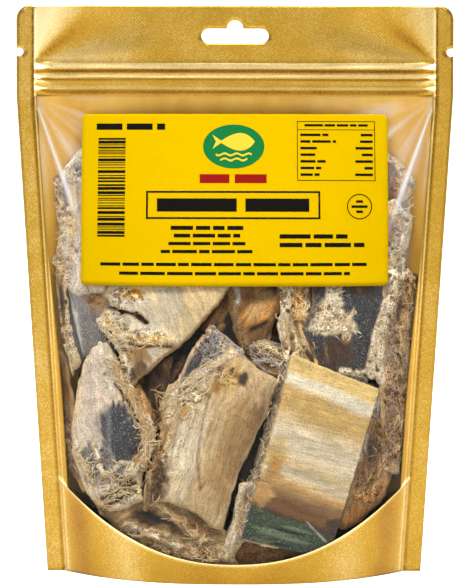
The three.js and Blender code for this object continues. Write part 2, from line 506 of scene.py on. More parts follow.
def level_grid(share, heights):
    """Level rows of points at shares of the inner half width."""
    z = heights[:, None] + 0.0 * share[None, :]
    return share[None, :] * inner_half(z), z


def skirt_grid():
    share = column_shares(MARGIN_LOW)[None, :]
    z = skirt_steps()[:, None] * curve_height(share)
    return share * inner_half(z), z


def window_grid():
    low, high = column_shares(MARGIN_LOW), column_shares(MARGIN_TOP)
    climb = np.linspace(0.0, 1.0, WINDOW_ROWS + 1)[:, None]
    z = mix(curve_height(low), STRIP_LOW, climb)
    start, span = MARGIN_RISE
    return mix(low, high, smoothstep((climb - start) / span)) * inner_half(z), z


def window_sheet(clear):
    """The clear window, or the gold margins beside it."""
    x, z = window_grid()
    points, faces = sheet(x, z, front_depth(x, z), -1)
    columns = x.shape[1] - 1
    column = np.arange(len(faces)) % columns
    inside = (column >= MARGIN_COLUMNS) & (column < columns - MARGIN_COLUMNS)
    used, corners = np.unique(faces[inside == clear], return_inverse=True)
    return points[used], corners.reshape(-1, 4)


def seal_grid(side, heights):
    share = np.linspace(0.0, 1.0, SEAL_COLUMNS + 1)[None, :]
    z = heights[:, None] + 0.0 * share
    x = side * mix(inner_half(z), half_width(z), share)
    return (x, z) if side > 0 else (x[:, ::-1], z[:, ::-1])


def arc(centre_x, centre_z, radius, start, end, count=8):
    angles = np.radians(np.linspace(start, end, count + 1))
    return [(centre_x + radius * math.cos(a), centre_z + radius * math.sin(a)) for a in angles]


def header_outline():
    """From the strip's top right corner, up, over and down, with a tear notch in each side."""
    edge = POUCH_WIDTH / 2
    right = [(edge, NOTCH_Z - NOTCH_RADIUS)]
    right += arc(edge - NOTCH_DEPTH + NOTCH_RADIUS, NOTCH_Z, NOTCH_RADIUS, 270, 90)
    right += [(edge, NOTCH_Z + NOTCH_RADIUS)]
    right += arc(edge - CORNER_RADIUS, POUCH_HEIGHT - CORNER_RADIUS, CORNER_RADIUS, 0, 90, 10)
    return right + [(-x, z) for x, z in reversed(right)]


def slot_outline():
    end = SLOT_LENGTH / 2 - SLOT_RADIUS
    points = arc(end, SLOT_Z, SLOT_RADIUS, -90, 90, 10)
    points += arc(0, SLOT_Z + SLOT_RADIUS, HUMP_RADIUS, 0, 180, 12)
    return points + arc(-end, SLOT_Z, SLOT_RADIUS, 90, 270, 10)


def dense(outline, step):
    """The outline with points added along its long edges."""
    points = []
    for start, end in zip(outline, outline[1:] + outline[:1]):
        pieces = max(1, round(math.dist(start, end) / step))
        points += [tuple(mix(np.array(start), np.array(end), i / pieces)) for i in range(pieces)]
    return points


def filled_outline(outline, holes, step, border, extra=()):
    """Triangles that fill an outline in the plane, with points about a step apart and extra ones."""
    loops = [dense(list(outline), step)] + [list(hole) for hole in holes]
    points, edges = [], []
    for loop in loops:
        start = len(points)
        points += loop
        edges += [(start + i, start + (i + 1) % len(loop)) for i in range(len(loop))]

    def within(x, z, margin):
        keep = plane_distance(x, z, loops[0]) < -margin
        for hole in loops[1:]:
            keep &= plane_distance(x, z, hole) > margin
        return keep

    low = np.min(outline, axis=0)
    high = np.max(outline, axis=0)
    x, z = np.meshgrid(np.arange(low[0], high[0], step), np.arange(low[1], high[1], step))
    keep = within(x, z, border)
    points += list(zip(x[keep], z[keep])) + list(extra)
    found = delaunay_2d_cdt([Vector(p) for p in points], edges, [], 0, 1e-5, False)
    flat = np.array([tuple(p) for p in found[0]])
    triangles = np.array([f for f in found[2]])
    centre = flat[triangles].mean(axis=1)
    return flat, triangles[within(centre[:, 0], centre[:, 1], 0.0)]


def header_sheet(depth_of, towards):
    top = np.array([STRIP_HIGH])
    row = [seal_grid(-1, top)[0][0], column_shares(MARGIN_TOP) * inner_half(top), seal_grid(1, top)[0][0]]
    below = sorted({round(float(x), 6) for x in np.concatenate(row)})
    outline = [(x, STRIP_HIGH) for x in below] + header_outline()
    levels = np.arange(STRIP_HIGH + 1.0, POUCH_HEIGHT - 0.5, SEAL_LINE_STEP)
    extra = [(side * (SEAL_X + offset), z) for side in SIDES for offset in SEAL_LINE for z in levels]
    flat, triangles = filled_outline(outline, [slot_outline()], HEADER_STEP, FILL_BORDER, extra)
    x, z = flat.T
    points = np.stack([x, towards * depth_of(x, z), z], axis=1)
    return points, triangles if towards < 0 else triangles[:, ::-1]


# Materials
class Nodes:
    """A material's node tree, with short ways to add and link nodes."""

    def __init__(self, name):
        self.material = bpy.data.materials.new(name)
        self.material.use_nodes = True
        self.tree = self.material.node_tree
        self.surface = self.tree.nodes["Principled BSDF"]
        self.output = self.tree.nodes["Material Output"]

    def add(self, kind, **values):
        node = self.tree.nodes.new("ShaderNode" + kind)
        for name, value in values.items():
            if name in node.inputs:
                node.inputs[name].default_value = value
            else:
                setattr(node, name, value)
        return node

    def link(self, source, target):
        self.tree.links.new(source, target)

    def set(self, **values):
        for name, value in values.items():
            self.surface.inputs[name.replace("_", " ")].default_value = value

    def colour(self, value):
        self.link(value, self.surface.inputs["Base Color"])

    def attribute(self, name, output="Vector"):
        return self.add("Attribute", attribute_name=name).outputs[output]

    def stretch(self, vector, scale, turn=(0, 0, 0)):
        mapping = self.add("Mapping", Scale=scale, Rotation=turn)
        self.link(vector, mapping.inputs["Vector"])
        return mapping.outputs["Vector"]

    def place(self, scale=(1, 1, 1), turn=(0, 0, 0)):
        """Object coordinates in metres, turned and scaled."""
        return self.stretch(self.add("TexCoord").outputs["Object"], scale, turn)

    def noise(self, vector, scale, detail=3.0, roughness=0.55):
        texture = self.add("TexNoise", Scale=scale, Detail=detail, Roughness=roughness)
        self.link(vector, texture.inputs["Vector"])
        return texture.outputs["Fac"]

    def even(self, vector, scale, detail, roughness):
        """Noise about 0 instead of 0.5."""
        return self.plus(self.noise(vector, scale, detail, roughness), -0.5)

    def ramp(self, value, stops):
        node = self.add("ValToRGB")
        ramp = node.color_ramp
        while len(ramp.elements) < len(stops):
            ramp.elements.new(0.5)
        for element, (at, colour) in zip(ramp.elements, stops):
            element.position = at
            element.color = (*colour, 1.0)
        self.link(value, node.inputs["Fac"])
        return node.outputs["Color"]

    def spread(self, value, low, high, start=0.0, end=1.0):
        """Maps values from start to end onto low to high."""
        node = self.add("MapRange")
        for name, number in zip(("From Min", "From Max", "To Min", "To Max"), (start, end, low, high)):
            node.inputs[name].default_value = number
        self.link(value, node.inputs["Value"])
        return node.outputs["Result"]

    def math(self, operation, first, second):
        node = self.add("Math", operation=operation)
        self.link(first, node.inputs[0])
        if isinstance(second, (int, float)):
            node.inputs[1].default_value = second
        else:
            self.link(second, node.inputs[1])
        return node.outputs[0]

    def plus(self, first, second):
        return self.math("ADD", first, second)

    def times(self, first, second):
        return self.math("MULTIPLY", first, second)

    def vectors(self, operation, first, second):
        node = self.add("VectorMath", operation=operation)
        self.link(first, node.inputs[0])
        self.link(second, node.inputs[1])
        return node.outputs["Vector"]

    def blend(self, share, first, second):
        """Mixes two shaders."""
        node = self.add("MixShader")
        for source, target in zip((share, first, second), node.inputs):
            self.link(source, target)
        return node.outputs["Shader"]

    def bump(self, height, strength, distance):
        node = self.add("Bump", Strength=strength, Distance=distance)
        self.link(height, node.inputs["Height"])
        self.link(node.outputs["Normal"], self.surface.inputs["Normal"])


# Gold by tone, from the darkest to the whitest. The tone follows the painted highlights and shade of the pale
# attribute.
GOLD_TONES = [
    (0.0, (0.08, 0.036, 0.003)),
    (0.3, (0.27, 0.127, 0.010)),
    (0.55, (0.39, 0.225, 0.022)),
    (1.0, (0.76, 0.59, 0.28)),
    (1.3, (0.81, 0.70, 0.43)),
]
GOLD_TONE = 0.53
HATCH_SCALE = 270.0
HATCH_LINES = [(math.pi / 4, 1.0), (-math.pi / 4, 0.55)]  # turn, strength
LINING_TONES = [(0.3, (0.58, 0.31, 0.03)), (0.7, (0.74, 0.44, 0.07))]


def foil_material(name, hatch):
    """Gold metallised laminate. hatch is how strongly the diagonal cross hatch of the seals shows."""
    n = Nodes(name)
    n.set(Metallic=1.0, Coat_Weight=0.15, Coat_Roughness=0.2, Coat_IOR=1.45)
    here = n.place()
    # The pale attribute carries the painted highlights and shade of the gold
    tone = n.plus(n.attribute("pale", "Fac"), GOLD_TONE - 0.12 * hatch)
    tone = n.plus(n.spread(n.noise(here, 45.0, 4.0), -0.15, 0.15), tone)
    speck = n.noise(here, 1300.0, 2.0)
    height = speck
    for turn, weight in HATCH_LINES:
        wave = n.add("TexWave", Scale=HATCH_SCALE, Distortion=2.2, Detail=2.0)
        wave.inputs["Detail Scale"].default_value = 3.0
        n.link(n.place((1, 1, 1), (0, turn, 0)), wave.inputs["Vector"])
        line = n.times(wave.outputs["Fac"], hatch * weight)
        height = n.plus(height, line)
        tone = n.plus(tone, n.times(line, 0.16))
    tone = n.plus(tone, n.spread(speck, -0.22, 0.22))
    whitest = GOLD_TONES[-1][0]
    n.colour(n.ramp(n.times(tone, 1 / whitest), [(at / whitest, colour) for at, colour in GOLD_TONES]))
    n.link(n.spread(n.noise(here, 160.0), 0.26, 0.42), n.surface.inputs["Roughness"])
    n.bump(height, 0.3, 0.00012)
    return n.material


def lining_material():
    """The satin gold inside of the laminate, seen through the window."""
    n = Nodes("gold_lining")
    n.set(Metallic=0.3, Roughness=0.5)
    n.colour(n.ramp(n.noise(n.place((1, 1, 0.25)), 60.0, 4.0), LINING_TONES))
    return n.material


def film_material():
    """Clear glossy film: see-through, with reflections that grow towards grazing angles, and painted glare.
    """
    n = Nodes("clear_film")
    n.tree.nodes.remove(n.surface)
    clear = n.add("BsdfTransparent", Color=(0.99, 0.985, 0.975, 1)).outputs["BSDF"]
    gloss = n.add("BsdfGlossy", Color=(1, 1, 1, 1), Roughness=0.08).outputs["BSDF"]
    whitening_and_glare = n.add("BsdfDiffuse", Color=(1, 1, 1, 1)).outputs["BSDF"]
    facing = n.add("LayerWeight", Blend=0.5).outputs["Facing"]
    shine = n.plus(n.times(n.math("POWER", facing, 4.0), 0.25), 0.004)
    # The film turns white where its attribute says: crest whitening, painted highlight rays and painted glare
    surface = n.blend(n.attribute("whitening_and_painted_glare", "Fac"), n.blend(shine, clear, gloss), whitening_and_glare)
    n.link(surface, n.output.inputs["Surface"])
    return n.material


def paper_material(name, colour):
    n = Nodes(name)
    n.set(Roughness=0.5, Specular_IOR_Level=0.0)
    base = linear(colour)
    n.colour(n.ramp(n.noise(n.place(), 220.0, 5.0), [(0.3, base * 0.965), (0.7, base)]))
    n.bump(n.noise(n.place(), 3000.0, 2.0), 0.12, 0.00005)
    return n.material


def fish_material():
    """Dried flesh and skin: painted tints, broken up by fibres, pores and specks that follow the grain."""
    n = Nodes("dried_fish")
    n.set(Roughness=0.66, Specular_IOR_Level=0.3)
    grain = n.attribute("grain")
    split = n.add("SeparateXYZ")
    n.link(n.attribute("kind"), split.inputs["Vector"])
    web, skin, flesh = (split.outputs[axis] for axis in "XYZ")
    streaks = n.even(n.stretch(grain, (1.3, 1.0, 0.1)), 1.0, 5.0, 0.7)
    tufts = n.even(n.stretch(grain, (1.0, 1.0, 0.3)), 1.0, 5.0, 0.7)
    pores = n.even(grain, 0.9, 3.0, 0.65)
    specks = n.even(grain, 1.6, 2.0, 0.7)
    mottle = n.even(grain, 0.22, 3.0, 0.6)
    lines = n.times(n.times(n.plus(streaks, tufts), flesh), 1.1)
    wander = n.add("TexNoise", Scale=0.5, Detail=2.0)
    n.link(grain, wander.inputs["Vector"])
    cells = n.add("TexVoronoi", feature="DISTANCE_TO_EDGE", Scale=0.62)
    n.link(n.vectors("ADD", grain, wander.outputs["Color"]), cells.inputs["Vector"])
    thread = n.spread(cells.outputs["Distance"], 0.42, -0.52, 0.05, 0.3)
    holes = n.times(n.plus(n.times(pores, 0.9), thread), web)
    speckle = n.times(specks, n.plus(n.times(flesh, 1.2), 0.4))
    shade = n.plus(n.plus(lines, holes), speckle)
    shade = n.plus(n.plus(shade, n.times(mottle, 0.6)), 1.0)
    shade = n.math("MAXIMUM", shade, 0.22)
    warm = n.add("CombineXYZ")
    for axis, power in zip("XYZ", (0.85, 1.0, 1.25)):
        n.link(n.math("POWER", shade, power), warm.inputs[axis])
    glint = n.times(n.math("MAXIMUM", n.plus(specks, -0.04), 0.0), skin)
    shaded = n.vectors("MULTIPLY", n.attribute("tint"), warm.outputs["Vector"])
    n.colour(n.vectors("ADD", shaded, n.times(glint, 1.6)))
    n.bump(n.plus(shade, n.times(specks, 0.6)), 0.7, 0.0007)
    return n.material


# Chunks of fish, seen from the front: colours by name
PALETTE = {
    "pale": (244, 229, 199),
    "cream": (230, 211, 176),
    "linen": (214, 196, 165),
    "ivory": (242, 219, 178),
    "beige": (217, 185, 136),
    "sand": (228, 200, 149),
    "pink": (229, 208, 183),
    "gold": (245, 209, 132),
    "honey": (216, 178, 110),
    "tan": (200, 156, 96),
    "hide": (128, 88, 38),
    "fawn": (178, 142, 93),
    "orange": (222, 154, 66),
    "ochre": (186, 126, 60),
    "bark": (146, 113, 74),
    "dust": (158, 129, 96),
    "brown": (124, 87, 52),
    "umber": (68, 51, 37),
    "dark": (30, 25, 21),
    "skin": (52, 51, 52),
    "slate": (118, 112, 105),
    "stone": (176, 162, 146),
    "ash": (174, 157, 132),
    "mist": (205, 199, 190),
    "green": (54, 67, 45),
    "moss": (94, 107, 77),
}
INK = {name: linear(colour) for name, colour in PALETTE.items()}
SKIN_COLOURS = ("skin", "slate", "green", "moss")

# How finely a chunk is made, by how far it lies behind the film
BEHIND_STEPS = [2.0, 5.0, 10.0, 16.0]
VOXEL_STEPS = [0.68, 0.82, 1.1, 2.2]
FILM_GAP = 0.5  # between the fish and the film

# Each chunk: outline (x, z), lean of its grain, thickness, how far behind the film, and its looks.
# A patch is a colour, x, z, the half width across and the half length along a direction that leans from
# upright, and that lean. A sponge is the same without a colour. A band is a share of the depth below the
# top edge, and the colour there. A rope is a raised frayed ridge: path, radius, colour. A cut is a crack:
# path, half width, depth; it is darkened with painted shade. A cut with a negative half width only paints
# the shade of a furrow.
PLAIN = dict(
    follow=0.9,  # how closely the front bends with the film
    ragged=0.8,  # how far the edges stray from the outline
    fold=0.8,  # height of the wrinkles
    fibre=0.3,  # height of the fibres
    round=2.0,  # radius of the edges
    crown=1.0,  # how far the front curves back at the outline
    calm=0.0,  # how far stains and fibres are toned down
    slant=0.0,  # how far the chunk shifts sideways with depth
    bands=(),
    sponge=(),
    ropes=(),
    cuts=(),
)
# Fillers and rear chunks lie far back in the gaps between the others; their dark, umber and brown colours are
# painted shade of the gaps
FILLER = dict(follow=0.5, ragged=0.9, fold=1.2, fibre=0.6, round=3.0, crown=2.0)
REAR = dict(follow=0.6, ragged=1.0, fold=2.0, fibre=0.6, round=5.0, crown=4.0)
CHUNKS = [
    dict(
        name="cut_block", lean=105, thick=14, behind=0.6, base="cream", rim="pale", side="ash",
        follow=0.0, ragged=0.3, fold=0.12, fibre=0.2, round=0.8, crown=0.3, calm=0.3, slant=-0.42,
        outline=[(28, 106), (68.5, 89), (47, 19), (40, 14), (31, 14), (4.5, 21)],
        bands=[(0.0, "gold"), (0.08, "gold"), (0.10, "pale"), (0.14, "pale"), (0.175, "honey"),
               (0.27, "honey"), (0.32, "sand"), (0.38, "cream"), (0.43, "cream"), (0.48, "cream"),
               (0.53, "sand"), (0.58, "cream"), (0.62, "sand"), (0.65, "tan"), (0.69, "bark"),
               (0.73, "brown"), (0.78, "brown"), (0.80, "umber"), (0.815, "green"), (1.0, "green")],
        patches=[("honey", 19, 60, 6, 9, 15), ("tan", 18, 52, 5, 9, 15), ("orange", 19, 56, 2, 3.5, 15),
                 ("tan", 13, 44, 6, 9, 15), ("umber", 46, 25, 5, 6, 30), ("moss", 15, 25.5, 0.9, 10, 103),
                 ("moss", 24, 21.5, 0.8, 11, 106), ("moss", 30, 25, 0.7, 8, 108),
                 ("dark", 20, 19, 0.8, 12, 104), ("moss", 12, 21, 0.7, 6, 103),
                 ("dark", 27, 24, 0.7, 9, 106), ("stone", 39, 23, 0.6, 9, 137)],
        ropes=[([(5, 20.5), (13, 18.2), (20, 16.4)], 0.3, "sand")],
    ),
    dict(
        name="loin", lean=17, thick=20, behind=1.4, base="beige", rim="beige", side="umber",
        follow=0.5, ragged=0.7, fold=0.38, fibre=0.22, round=1.6, crown=1.2, calm=0.7,
        outline=[(-11, 120), (2, 109), (10, 100), (21, 94), (17, 84), (13, 74), (5, 58), (-1, 42), (-5, 25),
                 (-8, 25), (-22, 35), (-34, 38), (-42, 33), (-41, 48), (-37, 60), (-33, 72), (-35, 81),
                 (-31, 90), (-25, 95), (-22, 104), (-16, 113)],
        patches=[("fawn", 1, 62, 11, 38, 17), ("bark", 10, 70, 7, 30, 17), ("ivory", -23, 68, 10, 28, 16),
                 ("pale", -24, 70, 5, 16, 16), ("cream", -18, 60, 3, 28, 16), ("cream", -27, 50, 4, 12, 10),
                 ("slate", -14, 105, 6.5, 19, 38), ("skin", -21, 98, 3, 10, 38),
                 ("ash", -5, 111, 3.5, 5, 38), ("ivory", -19, 85, 7, 7, 20), ("gold", -23.5, 80, 5, 6, 0),
                 ("orange", -23.5, 80, 3, 3.5, 0), ("honey", -3, 95, 7, 9, 40),
                 ("ochre", -8, 91.5, 2.5, 4, 0), ("umber", 4.5, 95, 3, 5, 20),
                 ("umber", -36.5, 47, 6.5, 18, 12), ("umber", -40, 39, 3.5, 6, 0),
                 ("bark", -31, 70, 2.5, 12, 10)],
        sponge=[(-20, 89, 11, 8, 20), (-2, 96, 8, 7, 30), (-36, 52, 5, 18, 12), (-12, 109, 8, 10, 36)],
        ropes=[([(2, 108.5), (-11, 100), (-21.5, 93.5), (-28, 87), (-31, 75)], 1.2, "ivory"),
               ([(-10, 119), (-3, 113), (4, 107)], 0.9, "stone"),
               ([(-12, 100), (-17, 84), (-26, 60)], 0.8, "cream"),
               ([(-21, 92), (-27, 76), (-33, 58)], 0.8, "sand"),
               ([(-41, 34), (-39, 48), (-34, 64)], 0.9, "bark")],
        cuts=[([(-6, 100), (-10, 92), (-14.5, 76), (-17, 58), (-15.5, 44)], -0.15, 0.5),
              ([(-23, 84), (-27, 70), (-29.5, 56)], -0.25, 0.5)],
    ),
    dict(
        name="belly_flap", lean=-10, thick=15, behind=1.6, base="pink", rim="sand", side="brown",
        follow=0.7, ragged=0.9, fold=0.7, fibre=0.25, crown=1.5, calm=0.9,
        outline=[(-63, 111), (-68, 108), (-71, 101), (-75, 84), (-77, 69), (-77.5, 57), (-74, 48),
                 (-70.5, 40), (-65, 33), (-58, 30.5), (-50, 33), (-43, 38), (-43, 50), (-38, 65), (-40, 76),
                 (-44, 86), (-52, 97), (-55, 104), (-59, 111)],
        patches=[("stone", -57, 102, 3, 6, -20), ("stone", -62, 72, 4, 9, 0),
                 ("skin", -52, 64, 9.5, 17, -20), ("slate", -66, 54, 10, 10, 0),
                 ("slate", -53, 49, 6, 5, 30), ("sand", -54, 40, 6, 14, 60)],
        sponge=[(-44, 58, 4, 10, -8), (-64, 52, 11, 9, 0), (-53, 40, 6, 12, 60), (-50, 88, 5, 12, -30)],
        ropes=[([(-58, 103), (-52, 92), (-45, 82), (-40, 72), (-39, 65), (-43, 55), (-49, 50)], 2.6, "cream"),
               ([(-54, 98), (-47, 88), (-42, 78)], 1.6, "tan"),
               ([(-63, 110), (-62, 100), (-59, 90)], 1.1, "pale"),
               ([(-66, 62), (-63, 52), (-58, 44)], 0.9, "cream"),
               ([(-75, 58), (-70, 50), (-66, 42)], 1.0, "sand"),
               ([(-57, 51), (-53, 55), (-48, 55)], 0.7, "cream")],
        cuts=[([(-55, 92), (-48, 82), (-44, 73)], 0.5, 1.5), ([(-62, 37), (-46, 46)], 0.45, 1.6),
              ([(-60, 34), (-46, 42)], 0.45, 1.6), ([(-58, 41), (-48, 47)], 0.4, 1.4)],
    ),
    dict(
        name="pale_slab", lean=-14, thick=12, behind=1.4, base="linen", rim="fawn", side="brown",
        follow=0.8, ragged=0.7, fold=0.4, fibre=0.2, round=1.6, calm=1.2,
        outline=[(-58, 152), (-60, 137), (-62, 133), (-59, 129), (-65, 121), (-60, 116), (-55, 110),
                 (-52, 102), (-55, 91), (-50, 89), (-45, 93), (-33, 104), (-25, 110), (-7, 129), (6, 150)],
        patches=[("sand", -16, 128, 10, 24, 35), ("gold", -49, 134, 8, 4, 0),
                 ("orange", -53, 134, 1.6, 3, 0), ("orange", -46, 135, 3, 1.6, 0),
                 ("pale", -43, 115, 14, 5.5, 0), ("gold", -36, 113.5, 7, 2.4, 0),
                 ("sand", -57, 119, 8, 6, 30), ("bark", -46, 105, 7, 5, 0), ("umber", -45, 97, 3.5, 6, 40),
                 ("sand", -52, 94, 3, 7, 0)],
        sponge=[(-42, 114, 15, 5, 0), (-56, 118, 8, 7, 30), (-50, 133, 10, 6, 0), (-51, 98, 5, 10, 0)],
        ropes=[([(-64, 121), (-58, 114), (-53, 107), (-51, 100), (-54, 92)], 1.2, "cream"),
               ([(-54, 113), (-44, 112), (-34, 112), (-27, 112)], 1.3, "sand")],
        cuts=[([(-61, 128), (-52, 125.5), (-45, 124)], 0.6, 2.6), ([(-46, 124), (-41.5, 121)], 1.0, 2.6),
              ([(-49, 110.5), (-42, 109.2), (-36, 110), (-29, 109.4)], 0.25, 0.8)],
    ),
    dict(
        name="dark_skin", lean=12, thick=12, behind=1.8, base="skin", rim="bark", side="bark",
        follow=0.8, ragged=0.7, fold=0.5, fibre=0.2, round=1.6,
        outline=[(36, 152), (73, 152), (74, 138), (70, 124), (66, 108), (62, 88), (42, 88), (38, 102),
                 (31, 118), (36, 128)],
        patches=[("umber", 48, 106, 11, 9, 0), ("umber", 60, 137, 10, 4, 0),
                 ("cream", 46, 118.5, 14.5, 4, 0), ("cream", 45, 123, 10, 5.5, 0),
                 ("cream", 45, 128.5, 7, 6, 0), ("cream", 46.5, 134, 5.5, 5, 0),
                 ("gold", 45, 116.8, 11, 1.4, 0), ("umber", 38, 140, 4, 9, 0)],
        sponge=[(46, 118.5, 14.5, 4, 0), (45, 123, 10, 5.5, 0), (45, 128.5, 7, 6, 0),
                (46.5, 134, 5.5, 5, 0), (71.5, 122, 4.5, 22, 13), (67, 100, 5, 9, 0), (58, 97, 3, 10, 95)],
        ropes=[([(78, 141), (73, 128), (68, 114), (66, 104), (64, 96)], 2.9, "ivory"),
               ([(67, 99), (60, 96.3), (50, 98.2)], 1.2, "cream"),
               ([(36, 118), (45, 117), (56, 117)], 1.0, "cream"),
               ([(68.5, 108), (67, 101), (69, 93)], 2.6, "ivory")],
    ),
    dict(
        name="streaked_piece", lean=30, thick=14, behind=5.0, base="brown", rim="tan", side="dark",
        follow=0.5, ragged=0.7, fold=0.7, fibre=0.5, round=2.5, crown=3.0,
        outline=[(-2, 152), (28, 152), (23, 131), (18, 117), (14, 106), (4, 106), (-1, 118), (-4, 136)],
        patches=[("ochre", 10, 124, 8, 10, 30), ("tan", 9, 126, 4, 6, 30), ("umber", 15, 134, 3, 9, 60),
                 ("dark", 11, 119, 2, 7, 65), ("dark", 17, 137, 4, 5, 40), ("ochre", 2, 112, 3, 7, 30)],
        ropes=[([(-3, 138), (1, 122), (6, 108)], 1.4, "bark"), ([(-1, 146), (2, 130)], 1.0, "stone")],
    ),
    dict(
        name="frayed_strip", lean=-8, thick=10, behind=3.0, base="sand", rim="cream", side="brown",
        follow=0.6, ragged=1.1, fold=0.9, fibre=0.5, crown=1.5,
        outline=[(20, 152), (36, 152), (35, 127), (41, 112), (39, 92), (31, 92), (24, 108), (21, 124)],
        patches=[("tan", 29, 135, 5, 9, 0), ("umber", 37, 134, 3, 9, 0), ("brown", 28, 116, 3, 8, 0),
                 ("umber", 35, 103, 2.5, 7, -20)],
        sponge=[(28, 132, 8, 14, 0), (28, 108, 6, 8, 0)],
        ropes=[([(30, 150), (24, 133), (22, 120), (25, 104)], 1.5, "cream"),
               ([(28, 124), (33, 121), (38, 108), (42, 101)], 1.3, "tan"),
               ([(27, 118), (30, 108), (36, 98)], 1.0, "sand")],
    ),
    dict(
        name="tangle", lean=70, thick=7, behind=5.0, base="umber", rim="stone", side="umber",
        follow=0.6, ragged=1.3, fibre=0.6, round=1.6,
        outline=[(6, 112), (14, 113), (24, 108), (27, 100), (22, 93), (14, 98), (7, 104)],
        patches=[("umber", 16, 103, 5, 3, 60), ("dark", 20, 98, 4, 3, 0)],
        sponge=[(16, 104, 11, 9, 0)],
        ropes=[([(7, 109), (15, 110), (24, 104)], 0.9, "sand"),
               ([(10, 103), (18, 104), (24, 96)], 0.8, "stone")],
    ),
    dict(
        name="left_upper", lean=-2, thick=9, behind=1.6, base="pink", rim="cream", side="bark",
        ragged=1.0, fibre=0.25,
        outline=[(-60, 206), (-70, 204), (-78, 197), (-86, 187), (-85, 172), (-83, 163), (-86, 150),
                 (-84, 140), (-74, 132), (-60, 134), (-56, 170)],
        patches=[("sand", -78, 165, 3, 26, 3), ("beige", -67, 182, 6, 18, 0), ("brown", -81, 178, 2, 12, 0),
                 ("mist", -71, 152, 4, 18, 2), ("tan", -82, 146, 3, 8, 0), ("bark", -68, 172, 2, 20, 2),
                 ("bark", -68, 194, 8, 9, 0)],
        sponge=[(-68, 192, 10, 12, 0), (-82, 172, 5, 18, 0), (-80, 148, 6, 10, 0)],
        ropes=[([(-62, 204), (-72, 201), (-82, 189)], 1.4, "cream"),
               ([(-84, 186), (-82, 165), (-84, 145)], 1.2, "sand")],
    ),
    dict(
        name="left_membrane", lean=-14, thick=7, behind=3.5, base="slate", rim="stone", side="umber",
        ragged=0.4, fold=0.5, fibre=0.2,
        outline=[(-80, 139), (-60, 139), (-55, 126), (-53, 108), (-60, 103), (-72, 103), (-76, 120)],
        patches=[("mist", -77, 124, 2.5, 20, -14), ("bark", -66, 133, 8, 7, 40),
                 # this skin patch is painted shadow in a hole of the membrane
                 ("skin", -57, 112, 4, 8, 0)],
        sponge=[(-66, 133, 8, 7, 40)],
    ),
    dict(
        name="left_edge_strip", lean=-8, thick=7, behind=1.2, base="fawn", rim="sand", side="umber",
        fold=0.6, round=1.5,
        outline=[(-86, 143), (-81, 143), (-77.5, 118), (-73, 100), (-77, 94), (-83, 115)],
        patches=[("sand", -78, 114, 1.6, 18, -10), ("umber", -82.5, 130, 2.5, 12, -6)],
        sponge=[(-80, 118, 5, 26, -10)],
    ),
    dict(
        name="left_low_strip", lean=-8, thick=7, behind=3.0, base="fawn", rim="tan", side="umber",
        fold=0.6, round=1.5,
        outline=[(-85, 106), (-80, 102), (-77, 84), (-74, 60), (-67, 42), (-72, 38), (-81, 52), (-85, 76)],
        patches=[("hide", -81, 88, 7, 20, 0), ("umber", -82, 72, 2, 10, 0), ("bark", -77, 50, 4, 8, -30)],
        sponge=[(-78, 60, 4, 14, 0)],
    ),
    dict(
        name="right_upper", lean=-20, thick=8, behind=1.4, base="brown", rim="sand", side="bark",
        ragged=1.0, fold=0.9,
        outline=[(56, 203), (68, 203), (77, 198), (86, 188), (84, 181), (78, 177), (66, 172), (56, 176)],
        patches=[("tan", 80, 186, 5, 7, 0), ("bark", 70, 197, 6, 4, 0), ("umber", 68, 187, 5, 8, 0)],
        sponge=[(80, 187, 8, 9, 0), (68, 199, 8, 4, 0)],
        ropes=[([(62, 201), (75, 197), (84, 187)], 1.2, "sand")],
    ),
    dict(
        name="right_middle", lean=-10, thick=8, behind=1.4, base="beige", rim="cream", side="bark",
        outline=[(60, 179), (77, 178), (85, 170), (84, 163), (80, 152), (76, 147), (66, 146), (60, 156)],
        patches=[("stone", 75, 160, 6, 10, 0), ("tan", 80, 168, 3, 6, 0), ("bark", 74, 164, 2, 8, 0),
                 ("bark", 79, 157, 2, 6, 0)],
        sponge=[(80, 168, 6, 9, 0), (76, 154, 6, 6, 0)],
        ropes=[([(76, 177), (83, 168), (79, 153)], 1.2, "cream")],
    ),
    dict(
        name="right_edge", lean=-3, thick=10, behind=1.6, base="dust", rim="sand", side="umber",
        ragged=1.0, fold=0.9,
        outline=[(66, 156), (78, 149), (87, 141), (86, 134), (83.5, 116), (83, 92), (83, 62), (78, 47),
                 (70, 50), (68, 88), (70, 112), (70, 132)],
        patches=[("cream", 77, 143, 8, 6, -40), ("umber", 78, 126, 2, 8, 10), ("dust", 77, 106, 5, 14, 0),
                 ("umber", 79, 64, 4, 9, 0), ("fawn", 71, 84, 3, 9, 0)],
        sponge=[(78, 140, 9, 10, 0), (77, 104, 7, 34, 0), (77, 62, 6, 14, 0)],
        ropes=[([(84, 140), (80, 120), (79, 100), (80, 78), (78, 56)], 1.2, "fawn"),
               ([(80, 149), (75, 140)], 1.3, "cream")],
    ),
    dict(
        name="lower_right", lean=8, thick=14, behind=4.0, base="bark", rim="fawn", side="dark",
        follow=0.7, fold=0.9, fibre=0.5, round=2.5, crown=2.0,
        outline=[(62, 92), (72, 88), (76, 66), (76, 48), (72, 37), (63, 28), (50, 22), (46, 40), (56, 66)],
        patches=[("stone", 67, 80, 4, 8, 10), ("umber", 65, 60, 5, 11, 10), ("tan", 62, 40, 7, 4, -10),
                 ("ochre", 58, 30, 10, 5, -35), ("brown", 60, 52, 3, 9, 20), ("fawn", 71, 52, 2.5, 10, 0),
                 ("ash", 61, 62, 2, 9, 15)],
        sponge=[(62, 42, 9, 8, 0), (68, 66, 7, 14, 0)],
        ropes=[([(70, 72), (72, 56), (68, 44)], 0.9, "tan"),
               ([(58, 38), (64, 36), (70, 42)], 0.9, "ochre")],
    ),
    dict(
        name="bottom_piece", lean=70, thick=20, behind=4.0, base="fawn", rim="sand", side="dark",
        follow=0.6, ragged=0.9, fibre=0.4, round=3.0, crown=2.5,
